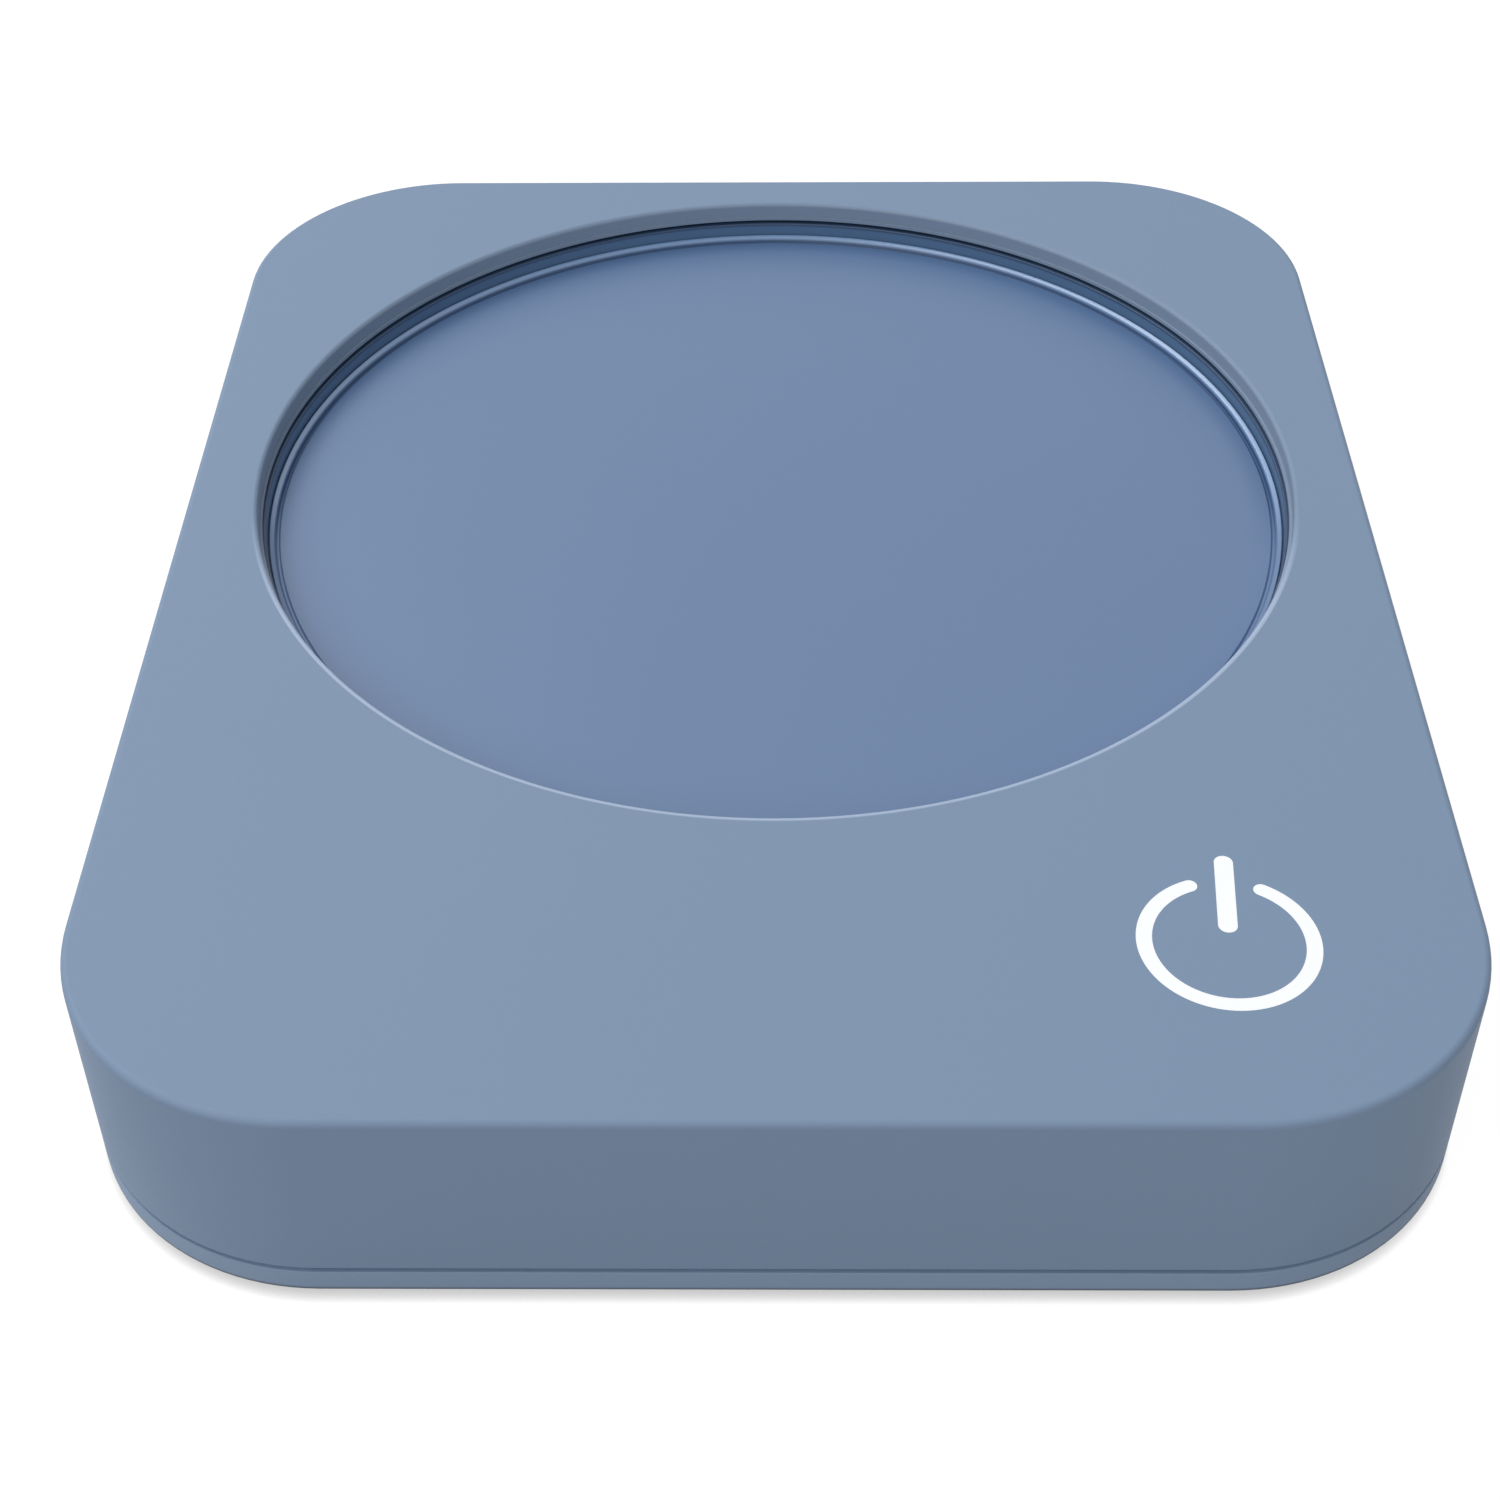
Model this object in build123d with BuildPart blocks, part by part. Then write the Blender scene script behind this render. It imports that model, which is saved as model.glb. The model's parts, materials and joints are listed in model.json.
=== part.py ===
from build123d import *

import os
from math import cos, radians

# Electric mug warmer: a low rounded box with a round well in its deck.  The
# dished heating plate at the bottom of the well floats on three springs, and
# the weight of a mug presses it down onto a small switch on the control board.
# A touch key with a lit power symbol lies under the deck at the front right.
#
# Units are millimetres.  +Z is up, +X is to the right and -Y is towards the
# user.  The origin lies on the table, under the middle of the housing.

os.makedirs("parts", exist_ok=True)

# ---------------------------------------------------------------------------
# Driving dimensions
# ---------------------------------------------------------------------------

# Housing, sized by the well and the deck left around it
well_radius = 47.0
well_side_margin = 6.0
well_back_margin = 5.0
apron_depth = 31.0
corner_radius = 19.5
deck_edge_radius = 0.6
base_edge_chamfer = 0.4
wall = 2.0
deck_thickness = 1.8
floor_thickness = 2.0
base_band = 2.4
seam_width = 0.3
seam_depth = 0.6
lip_height = 2.0
lip_thickness = 1.2
moulding_gap = 0.15
rib_thickness = 1.2
rib_height = 1.6
apron_rib_count = 3
apron_rib_pitch = 19.0
side_rib_length = 64.0
vent_count = 7
vent_pitch = 4.5
vent_width = 1.5
vent_length = 16.0

well_edge_radius = 0.4
well_ledge_width = 0.25
well_ledge_height = 0.3

# Floating tray: ring, heating plate, heater, insulation and carrier
tray_gap = 0.3
tray_travel = 0.8
ring_top_inset = 0.5
ring_bottom_inset = 0.85
ring_flange = 1.5
ring_skirt = 1.1
plate_depth = 3.75
plate_thickness = 1.5
plate_side_gap = 0.2
bead_gap = 0.1
bead_width = 0.7
bead_crest_width = 0.3
bead_height = 0.45
film_thickness = 0.25
film_margin = 5.0
track_thickness = 0.1
track_width = 4.0
track_pitch = 8.0
track_turns = 4
track_split = 8.0
terminal_size = 5.0
pad_thickness = 2.4
pad_window_x = -4.0
pad_window_width = 18.0
pad_window_depth = 12.0
carrier_thickness = 1.2
lead_window_x = -6.0
lead_window_inset = 8.5
lead_window_width = 14.0
lead_window_depth = 4.5
ear_offset = 3.0
ear_radius = 3.0
ear_angle = 45.0

# Temperature sensor and thermal fuse, in the window of the insulation
sensor_inset = 4.0
thermistor_offset = 6.0
thermistor_radius = 1.5
thermistor_height = 1.5
fuse_offset = -3.0
fuse_radius = 1.0
fuse_length = 8.0

# Guide posts, sleeves and return springs
guide_count = 3
guide_angle = 30.0
guide_inset = 15.0
post_radius = 1.9
guide_clearance = 0.08
sleeve_wall = 1.0
sleeve_length = 3.0
spring_seat_height = 0.8
spring_seat_radius = 5.0
spring_wire_radius = 0.3
spring_turns = 3.0
spring_side_gap = 0.35
post_top_gap = 0.1
end_gap = 0.05

# Feet and housing screws
foot_proud = 1.0
foot_inset = 0.8
foot_radius = 5.0
foot_edge_chamfer = 0.4
screw_inset_x = 10.0
screw_inset_y = 11.0
cover_boss_radius = 3.2
base_boss_radius = 3.9
base_boss_height = 2.6
screw_gap = 0.1
cover_screw_head_radius = 2.2
cover_screw_head_height = 1.4
cover_screw_radius = 1.15
cover_screw_grip = 6.4
cover_bore_spare = 3.2

# Small screws of the boards and the tray
small_head_radius = 1.8
small_head_height = 1.1
small_screw_radius = 0.95
small_screw_length = 3.6

# Power symbol and its light guide
symbol_inset_x = 19.4
symbol_inset_y = 17.5
symbol_radius = 6.25
symbol_stroke = 1.2
symbol_gap_angle = 51.0
symbol_turn = -4.5
bar_stroke = 1.45
bar_length = 8.15
bar_foot = 0.95
guide_flange_thickness = 1.0
guide_flange_margin = 1.0
guide_window_gap = 0.05
stake_radius = 0.75
stake_reach = 10.0
stake_ear_radius = 2.0

# Touch spring and lamp under the symbol
touch_wire_radius = 0.25
touch_turns = 2.5
touch_foot_radius = 3.0
touch_head_radius = 4.6
led_length = 3.2
led_width = 2.8
led_height = 0.9
led_lens_radius = 0.95
led_lens_height = 0.3

# Control board
board_thickness = 1.6
board_standoff = 3.0
board_side_margin = 15.0
board_front_margin = 5.0
board_under_tray = 10.0
board_corner_radius = 1.5
board_hole_inset = 3.8
standoff_radius = 2.6

# Components on the control board
chip_x = -4.0
chip_inset = 9.0
chip_length = 9.9
chip_width = 3.9
chip_height = 1.5
chip_pin_count = 8
chip_pin_pitch = 1.27
chip_pin_width = 0.42
chip_pin_span = 6.0
chip_pin_height = 0.6
mosfet_end_inset = 9.5
mosfet_inset = 16.7
mosfet_width = 6.6
mosfet_length = 6.1
mosfet_height = 2.2
mosfet_tab_width = 5.3
mosfet_tab_length = 1.2
mosfet_leg_pitch = 4.6
mosfet_leg_width = 0.85
mosfet_leg_length = 2.6
can_end_inset = 14.0
can_pitch = 9.5
can_inset = 7.5
can_radius = 3.15
can_height = 5.4
can_edge = 0.4
can_base = 6.6
can_base_height = 0.8
resistor_offset = 12.0
resistor_length = 1.6
resistor_width = 0.8
resistor_height = 0.5
resistor_pitch_x = 3.2
resistor_pitch_y = 2.4
resistor_rows = 3

# Mug switch
switch_x = 14.0
switch_edge_inset = 6.0
switch_size = 6.2
switch_height = 1.6
switch_cap = 0.4
plunger_radius = 1.5
plunger_flange_radius = 2.2
plunger_flange_height = 0.3
plunger_foot_gap = 0.85
plunger_proud = 1.0
nub_radius = 2.4
nub_length = 0.6

# Power inlet
inlet_width = 8.94
inlet_height = 3.16
inlet_sheet = 0.3
inlet_depth = 7.35
inlet_window_gap = 0.2
inlet_recess_depth = 0.8
inlet_recess_margin = 1.7
inlet_mouth_gap = 0.1
tongue_width = 6.7
tongue_thickness = 0.7
tongue_length = 4.4
stopper_depth = 1.6
inlet_board_width = 20.0
inlet_board_length = 12.8
inlet_board_thickness = 1.0
inlet_board_standoff = 1.5
inlet_board_hole_inset = 2.8

# Wiring, and the number of flats that draw a round wire
wire_sides = 6
wire_gap = 0.1
tray_wire_radius = 0.5
tray_wire_bend = 1.5
tray_wire_offsets = (-5.0, -2.0, 2.0, 5.0)
tray_wire_board_run = 4.0
tray_wire_foot = 2.5
tray_wire_head = 0.7
tray_wire_heater_run = 3.3
supply_wire_radius = 0.65
supply_wire_bend = 3.0
supply_wire_pitch = 2.2
supply_wire_side_gap = 2.2
supply_wire_start = 1.0
supply_wire_inlet_run = 7.0
supply_wire_landing = 10.0
supply_wire_take_off = 13.0
supply_wire_board_run = 4.5

# ---------------------------------------------------------------------------
# Levels and places that follow from them
# ---------------------------------------------------------------------------

body_width = 2 * (well_radius + well_side_margin)
body_depth = well_back_margin + 2 * well_radius + apron_depth

base_z = foot_proud
floor_z = base_z + floor_thickness
seam_z = base_z + base_band
lip_z = seam_z + lip_height
foot_seat_z = base_z + foot_inset
boss_z = floor_z + base_boss_height

# The height is built up from the floor: board, switch, tray and deck
board_under_z = floor_z + board_standoff
board_z = board_under_z + board_thickness
switch_top_z = board_z + switch_height
plunger_top_z = switch_top_z + plunger_proud
carrier_under_z = plunger_top_z + nub_length
carrier_z = carrier_under_z + carrier_thickness
track_under_z = carrier_z + pad_thickness
film_under_z = track_under_z + track_thickness
plate_under_z = film_under_z + film_thickness
plate_z = plate_under_z + plate_thickness
deck_z = plate_z + plate_depth
deck_under_z = deck_z - deck_thickness
ring_top_z = deck_under_z - tray_gap

well_y = body_depth / 2 - well_back_margin - well_radius

ring_top_radius = well_radius - ring_top_inset
ring_bottom_radius = well_radius - ring_bottom_inset
ring_outer_radius = well_radius + ring_flange
skirt_radius = ring_outer_radius - ring_skirt
plate_radius = skirt_radius - plate_side_gap
bead_radius = ring_bottom_radius - bead_gap
dish_radius = bead_radius - bead_width
film_radius = dish_radius - film_margin
pad_radius = dish_radius
ear_circle = ring_outer_radius + ear_offset
guide_circle = well_radius - guide_inset
tray_front_y = well_y - ring_outer_radius
lead_window_y = tray_front_y + lead_window_inset
pad_window_front_y = lead_window_y - lead_window_depth / 2 - wire_gap
sensor_y = pad_window_front_y + pad_window_depth - sensor_inset
tray_screw_bite = small_screw_length - carrier_thickness

spring_seat_z = floor_z + spring_seat_height
sleeve_radius = post_radius + guide_clearance
sleeve_outer_radius = sleeve_radius + sleeve_wall
post_top_z = carrier_z - tray_travel - post_top_gap
spring_radius = sleeve_outer_radius + spring_side_gap + spring_wire_radius

screw_x = body_width / 2 - screw_inset_x
screw_y = body_depth / 2 - screw_inset_y
screw_points = [(x, y) for x in (-screw_x, screw_x) for y in (-screw_y, screw_y)]
cover_screw_seat_z = foot_seat_z + screw_gap + cover_screw_head_height

symbol_x = body_width / 2 - symbol_inset_x
symbol_y = symbol_inset_y - body_depth / 2
symbol_place = Location((symbol_x, symbol_y, 0), (0, 0, 90 + symbol_turn))
guide_under_z = deck_under_z - guide_flange_thickness
guide_flange_radius = symbol_radius + symbol_stroke / 2 + guide_flange_margin
stake_points = [(symbol_x - stake_reach, symbol_y), (symbol_x, symbol_y - stake_reach)]

board_width = body_width - 2 * board_side_margin
board_front_y = board_front_margin - body_depth / 2
board_back_y = tray_front_y + board_under_tray
board_length = board_back_y - board_front_y
board_y = (board_back_y + board_front_y) / 2
board_hole_x = board_width / 2 - board_hole_inset
board_hole_y = board_length / 2 - board_hole_inset
board_holes = [
    (x, board_y + y)
    for x in (-board_hole_x, board_hole_x)
    for y in (-board_hole_y, board_hole_y)
]
board_screw_tip_z = board_z - small_screw_length
chip_y = board_front_y + chip_inset
mosfet_x = mosfet_end_inset - board_width / 2
mosfet_y = board_front_y + mosfet_inset
can_x = can_end_inset - board_width / 2
can_y = board_front_y + can_inset
can_points = [(can_x - can_pitch / 2, can_y), (can_x + can_pitch / 2, can_y)]

switch_y = tray_front_y + switch_edge_inset

inlet_board_under_z = floor_z + inlet_board_standoff
inlet_board_z = inlet_board_under_z + inlet_board_thickness
inlet_z = inlet_board_z + end_gap + inlet_height / 2
inlet_mouth_y = body_depth / 2 - inlet_recess_depth - inlet_mouth_gap
lip_inner_y = body_depth / 2 - wall - moulding_gap - lip_thickness
inlet_board_back_y = lip_inner_y - 2 * moulding_gap
inlet_board_y = inlet_board_back_y - inlet_board_length / 2
inlet_hole_x = inlet_board_width / 2 - inlet_board_hole_inset
inlet_hole_y = inlet_board_back_y - inlet_board_length + inlet_board_hole_inset
inlet_holes = [(-inlet_hole_x, inlet_hole_y), (inlet_hole_x, inlet_hole_y)]
inlet_screw_tip_z = inlet_board_z - small_screw_length

tray_wire_low_z = board_z + wire_gap + tray_wire_radius
tray_wire_high_z = track_under_z - wire_gap - tray_wire_radius
supply_wire_x = spring_seat_radius + supply_wire_side_gap - guide_circle * cos(radians(guide_angle))
supply_wire_low_z = floor_z + wire_gap + supply_wire_radius
supply_wire_board_z = board_z + wire_gap + supply_wire_radius
supply_wire_inlet_z = inlet_board_z + wire_gap + supply_wire_radius

bottom_aligned = (Align.CENTER, Align.CENTER, Align.MIN)


# ---------------------------------------------------------------------------
# Shapes that several pieces share
# ---------------------------------------------------------------------------


def housing_outline(inset=0.0, mode=Mode.ADD):
    """Plan outline of the housing, drawn this far inside its outer wall."""
    RectangleRounded(
        body_width - 2 * inset,
        body_depth - 2 * inset,
        corner_radius - inset,
        mode=mode,
    )


def power_symbol(grow=0.0):
    """Open ring and bar with round ends, grown all round by a clearance."""
    half_gap = symbol_gap_angle / 2
    ring = Edge.make_circle(symbol_radius, start_angle=half_gap, end_angle=360 - half_gap)
    with Locations(symbol_place):
        SlotArc(ring, symbol_stroke + 2 * grow)
        with Locations((bar_foot + bar_length / 2, 0)):
            SlotOverall(bar_length + 2 * grow, bar_stroke + 2 * grow)


def tray_ears():
    """Four screw ears around the tray, each with its web to the ring."""
    with Locations((0, well_y)):
        with PolarLocations(ear_circle, 4, start_angle=ear_angle):
            Circle(ear_radius)
            Rectangle(ear_offset + ring_skirt / 2, 2 * ear_radius, align=(Align.MAX, Align.CENTER))


def tray_screw_holes(radius, mode=Mode.ADD):
    """The circles of the four tray screws."""
    with Locations((0, well_y)):
        with PolarLocations(ear_circle, 4, start_angle=ear_angle):
            Circle(radius, mode=mode)


def guide_circles(radius, mode=Mode.ADD):
    """A circle on the axis of each guide post."""
    with Locations((0, well_y)):
        with PolarLocations(guide_circle, guide_count, start_angle=guide_angle):
            Circle(radius, mode=mode)


def disc_column(points, radius, low_z, high_z, mode=Mode.ADD):
    """Round columns or bores between two levels, added to the piece being built."""
    with BuildSketch(Plane.XY.offset(low_z)) as discs:
        with Locations(*points):
            Circle(radius)
    extrude(discs.sketch, amount=high_z - low_z, mode=mode)


def inlet_plane(y):
    """Upright plane across the power inlet at this depth, facing backwards."""
    return Plane(origin=(0, y, inlet_z), x_dir=(1, 0, 0), z_dir=(0, 1, 0))


def wire(points, bend_radius, radius):
    """One insulated wire along straight runs joined by arcs."""
    with BuildLine() as route:
        FilletPolyline(*points, radius=bend_radius)
    with BuildSketch(Plane(origin=route.line @ 0, z_dir=route.line % 0)) as section:
        RegularPolygon(radius, wire_sides)
    sweep(section.sketch, path=route.line)


def coil(centre, foot_radius, head_radius, low_z, rise, turns, wire_radius):
    """One compression spring, straight or tapered, wound from its foot upwards."""
    cone_angle = Vector(1, 0, 0).get_angle(Vector(rise, head_radius - foot_radius, 0))
    with BuildLine() as winding:
        Helix(
            pitch=rise / turns,
            height=rise,
            radius=foot_radius,
            center=(centre[0], centre[1], low_z),
            cone_angle=cone_angle,
        )
    with BuildSketch(Plane(origin=winding.line @ 0, z_dir=winding.line % 0)) as section:
        RegularPolygon(wire_radius, wire_sides)
    sweep(section.sketch, path=winding.line, is_frenet=True)


# ---------------------------------------------------------------------------
# Housing
# ---------------------------------------------------------------------------

with BuildPart() as top_cover:
    with BuildSketch(Plane.XY.offset(seam_z)):
        housing_outline()
    extrude(amount=deck_z - seam_z)
    fillet(top_cover.faces().sort_by(Axis.Z)[-1].edges(), deck_edge_radius)
    with BuildSketch(Plane.XY.offset(seam_z)):
        housing_outline(wall)
    extrude(amount=deck_under_z - seam_z, mode=Mode.SUBTRACT)

    # Shadow groove just above the seam
    with BuildSketch(Plane.XY.offset(seam_z)):
        housing_outline()
        housing_outline(seam_depth, mode=Mode.SUBTRACT)
    extrude(amount=seam_width, mode=Mode.SUBTRACT)

    # Well for the mug, with a narrow ledge at the bottom of its wall
    with BuildSketch(Plane.XY.offset(deck_under_z + well_ledge_height)):
        with Locations((0, well_y)):
            Circle(well_radius)
    extrude(amount=deck_thickness - well_ledge_height, mode=Mode.SUBTRACT)
    with BuildSketch(Plane.XY.offset(deck_under_z)):
        with Locations((0, well_y)):
            Circle(well_radius - well_ledge_width)
    extrude(amount=well_ledge_height, mode=Mode.SUBTRACT)
    well_edges = top_cover.edges().filter_by(GeomType.CIRCLE)
    well_edge = well_edges.filter_by(lambda e: abs(e.radius - well_radius) < 0.01).sort_by(Axis.Z)[-1]
    fillet(well_edge, well_edge_radius)

    # Screw bosses, each tied to the two walls beside it
    disc_column(screw_points, cover_boss_radius, boss_z, deck_under_z)
    gusset_x = screw_inset_x - wall / 2
    gusset_y = screw_inset_y - wall / 2
    with BuildSketch(Plane.XY.offset(boss_z + rib_height)):
        with GridLocations(2 * screw_x + gusset_x, 2 * screw_y, 2, 2):
            Rectangle(gusset_x, rib_thickness)
        with GridLocations(2 * screw_x, 2 * screw_y + gusset_y, 2, 2):
            Rectangle(rib_thickness, gusset_y)
        housing_outline(wall / 2, mode=Mode.INTERSECT)
    extrude(amount=deck_under_z - boss_z - rib_height)
    cover_bore_top_z = cover_screw_seat_z + cover_screw_grip + cover_bore_spare
    disc_column(screw_points, cover_screw_radius + end_gap, boss_z, cover_bore_top_z, Mode.SUBTRACT)

    # Stiffening ribs under the apron in front of the well
    apron_back_y = tray_front_y - 2 * ear_radius
    apron_front_y = wall - body_depth / 2
    with BuildSketch(Plane.XY.offset(deck_under_z - rib_height)):
        with Locations((0, (apron_back_y + apron_front_y) / 2)):
            with GridLocations(apron_rib_pitch, 1, apron_rib_count, 1):
                Rectangle(rib_thickness, apron_back_y - apron_front_y)
    extrude(amount=rib_height)

    # Windows of the power symbol, and the stakes that hold its light guide
    with BuildSketch(Plane.XY.offset(deck_under_z)):
        power_symbol(guide_window_gap)
    extrude(amount=deck_thickness, mode=Mode.SUBTRACT)
    disc_column(stake_points, stake_radius, guide_under_z - guide_window_gap, deck_under_z)

    # Window and finger recess of the power inlet in the back wall
    with BuildSketch(inlet_plane(body_depth / 2)):
        SlotOverall(
            inlet_width + 2 * inlet_recess_margin,
            inlet_height + 2 * inlet_recess_margin,
        )
    extrude(amount=-inlet_recess_depth, mode=Mode.SUBTRACT)
    with BuildSketch(inlet_plane(body_depth / 2)):
        SlotOverall(inlet_width + 2 * inlet_window_gap, inlet_height + 2 * inlet_window_gap)
    extrude(amount=-2 * wall, mode=Mode.SUBTRACT)

with BuildPart() as base_cover:
    with BuildSketch(Plane.XY.offset(base_z)):
        housing_outline()
    extrude(amount=base_band)
    chamfer(base_cover.faces().sort_by(Axis.Z)[0].edges(), base_edge_chamfer)
    lip_inset = wall + moulding_gap
    with BuildSketch(Plane.XY.offset(floor_z)):
        housing_outline(lip_inset)
    extrude(amount=seam_z - floor_z, mode=Mode.SUBTRACT)
    with BuildSketch(Plane.XY.offset(floor_z)):
        housing_outline(lip_inset)
        housing_outline(lip_inset + lip_thickness, mode=Mode.SUBTRACT)
    extrude(amount=lip_z - floor_z)

    # Guide posts on their raised spring seats
    with BuildSketch(Plane.XY.offset(floor_z)):
        guide_circles(spring_seat_radius)
    extrude(amount=spring_seat_height)
    with BuildSketch(Plane.XY.offset(spring_seat_z)):
        guide_circles(post_radius)
    extrude(amount=post_top_z - spring_seat_z)
    chamfer(
        base_cover.faces().filter_by(Plane.XY).group_by(Axis.Z)[-1].edges(),
        2 * guide_clearance,
    )

    # Standoffs of the two boards
    disc_column(board_holes, standoff_radius, floor_z, board_under_z)
    disc_column(inlet_holes, standoff_radius, floor_z, inlet_board_under_z)

    # Ribs along both sides of the floor
    with BuildSketch(Plane.XY.offset(floor_z)):
        with Locations((0, well_y)):
            with GridLocations(2 * (guide_circle + spring_seat_radius), 1, 2, 1):
                Rectangle(rib_thickness, side_rib_length)
    extrude(amount=rib_height)

    # Screw bosses, with a foot pocket and a head recess below each
    disc_column(screw_points, base_boss_radius, floor_z, boss_z)
    disc_column(screw_points, foot_radius + moulding_gap, base_z, foot_seat_z, Mode.SUBTRACT)
    head_recess_radius = cover_screw_head_radius + moulding_gap
    disc_column(screw_points, head_recess_radius, foot_seat_z, cover_screw_seat_z, Mode.SUBTRACT)
    disc_column(screw_points, cover_screw_radius + screw_gap, cover_screw_seat_z, boss_z, Mode.SUBTRACT)

    # Blind bores for the board screws
    bore_radius = small_screw_radius + end_gap
    board_bore_z = board_screw_tip_z - screw_gap
    disc_column(board_holes, bore_radius, board_bore_z, board_under_z, Mode.SUBTRACT)
    inlet_bore_z = inlet_screw_tip_z - screw_gap
    disc_column(inlet_holes, bore_radius, inlet_bore_z, inlet_board_under_z, Mode.SUBTRACT)

    # Vent slots under the insulated heater
    with BuildSketch(Plane.XY.offset(base_z)):
        with Locations((0, well_y)):
            with GridLocations(vent_pitch, 1, vent_count, 1):
                Rectangle(vent_width, vent_length)
    extrude(amount=floor_thickness, mode=Mode.SUBTRACT)

with BuildPart() as rubber_feet:
    disc_column(screw_points, foot_radius, 0, foot_seat_z)
    chamfer(rubber_feet.faces().filter_by(Plane.XY).group_by(Axis.Z)[0].edges(), foot_edge_chamfer)

with BuildPart() as cover_screws:
    head_z = cover_screw_seat_z - cover_screw_head_height
    disc_column(screw_points, cover_screw_head_radius, head_z, cover_screw_seat_z)
    tip_z = cover_screw_seat_z + cover_screw_grip
    disc_column(screw_points, cover_screw_radius, cover_screw_seat_z, tip_z)

# ---------------------------------------------------------------------------
# Touch key
# ---------------------------------------------------------------------------

with BuildPart() as power_light_guide:
    with BuildSketch(Plane.XY.offset(guide_under_z)):
        with Locations((symbol_x, symbol_y)):
            Circle(guide_flange_radius)
        with Locations(symbol_place):
            Rectangle(
                bar_foot + bar_length + guide_flange_margin,
                bar_stroke + 2 * guide_flange_margin,
                align=(Align.MIN, Align.CENTER),
            )
        with Locations(*stake_points):
            Circle(stake_ear_radius)
        with Locations((symbol_x - stake_reach / 2, symbol_y)):
            Rectangle(stake_reach, 2 * stake_ear_radius)
        with Locations((symbol_x, symbol_y - stake_reach / 2)):
            Rectangle(2 * stake_ear_radius, stake_reach)
    extrude(amount=guide_flange_thickness)
    stake_hole_radius = stake_radius + guide_window_gap
    disc_column(stake_points, stake_hole_radius, guide_under_z, deck_under_z, Mode.SUBTRACT)
    with BuildSketch(Plane.XY.offset(deck_under_z)):
        power_symbol()
    extrude(amount=deck_thickness)

with BuildPart() as status_led:
    with Locations((symbol_x, symbol_y, board_z)):
        Box(led_length, led_width, led_height, align=bottom_aligned)
    with BuildSketch(Plane.XY.offset(board_z + led_height)):
        with Locations((symbol_x, symbol_y)):
            Circle(led_lens_radius)
    extrude(amount=led_lens_height)

with BuildPart() as touch_spring:
    coil(
        (symbol_x, symbol_y),
        touch_foot_radius,
        touch_head_radius,
        board_z + touch_wire_radius + end_gap,
        guide_under_z - board_z - 2 * (touch_wire_radius + end_gap),
        touch_turns,
        touch_wire_radius,
    )

# ---------------------------------------------------------------------------
# Floating tray
# ---------------------------------------------------------------------------

with BuildPart() as tray_ring:
    with BuildSketch(Plane.XZ.offset(-well_y)):
        with BuildLine():
            Polyline(
                (ring_bottom_radius, plate_z),
                (ring_top_radius, ring_top_z),
                (ring_outer_radius, ring_top_z),
                (ring_outer_radius, carrier_z),
                (skirt_radius, carrier_z),
                (skirt_radius, plate_z),
                close=True,
            )
        make_face()
    revolve(axis=Axis((0, well_y, 0), (0, 0, 1)))
    # The ears reach the underside of the deck, which stops the sprung tray there
    with BuildSketch(Plane.XY.offset(carrier_z)):
        tray_ears()
        with Locations((0, well_y)):
            Circle(skirt_radius + ring_skirt / 2, mode=Mode.SUBTRACT)
    extrude(amount=deck_under_z - carrier_z)
    with BuildSketch(Plane.XY.offset(carrier_z)):
        tray_screw_holes(small_screw_radius + end_gap)
    extrude(amount=tray_screw_bite + screw_gap, mode=Mode.SUBTRACT)

with BuildPart() as heating_plate:
    # Dished disc: flat floor, raised bead, and a shoulder under the ring's lip
    bead_crest_z = plate_z + bead_height
    bead_flank = (bead_width - bead_crest_width) / 2
    with BuildSketch(Plane.XZ.offset(-well_y)):
        with BuildLine():
            Polyline(
                (dish_radius, plate_z),
                (0, plate_z),
                (0, plate_under_z),
                (plate_radius, plate_under_z),
                (plate_radius, plate_z),
                (bead_radius, plate_z),
                (bead_radius - bead_flank, bead_crest_z),
                (dish_radius + bead_flank, bead_crest_z),
                close=True,
            )
        make_face()
    revolve(axis=Axis((0, well_y, 0), (0, 0, 1)))

with BuildPart() as heating_film:
    with BuildSketch(Plane.XY.offset(film_under_z)):
        with Locations((0, well_y)):
            Circle(film_radius)
    extrude(amount=film_thickness)

with BuildPart() as heating_track:
    # Open rings joined in series by links that alternate across the split
    outer_turn = film_radius - track_width
    turns = [outer_turn - track_pitch * turn for turn in range(track_turns)]
    end_x = track_split / 2
    with BuildSketch(Plane.XY.offset(track_under_z)):
        for turn in turns:
            with Locations((0, well_y)):
                Circle(turn + track_width / 2)
                Circle(turn - track_width / 2, mode=Mode.SUBTRACT)
        with Locations((0, well_y)):
            Rectangle(track_split, film_radius, align=(Align.CENTER, Align.MAX), mode=Mode.SUBTRACT)
        side = 1
        for turn in turns[:-1]:
            with Locations((side * (end_x + track_width / 2), well_y - turn - track_width / 2)):
                Rectangle(track_width, track_pitch + track_width, align=(Align.CENTER, Align.MIN))
            side = -side
        # The innermost ring comes back out to its terminal along the split
        inner_turn = turns[-1]
        with Locations((0, well_y - inner_turn)):
            Rectangle(
                end_x + track_width,
                track_width,
                align=(Align.MIN if side > 0 else Align.MAX, Align.CENTER),
            )
        with Locations((0, well_y - inner_turn + track_width / 2)):
            Rectangle(
                track_width,
                outer_turn - inner_turn + track_width,
                align=(Align.CENTER, Align.MAX),
            )
        with Locations((-end_x - terminal_size / 2, well_y - outer_turn)):
            Rectangle(terminal_size, terminal_size)
    extrude(amount=track_thickness)

with BuildPart() as insulation_pad:
    with BuildSketch(Plane.XY.offset(carrier_z)):
        with Locations((0, well_y)):
            Circle(pad_radius)
        # Window for the wires, the sensor and the fuse
        with Locations((pad_window_x, pad_window_front_y)):
            Rectangle(
                pad_window_width,
                pad_window_depth,
                align=(Align.CENTER, Align.MIN),
                mode=Mode.SUBTRACT,
            )
    extrude(amount=pad_thickness)

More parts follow.
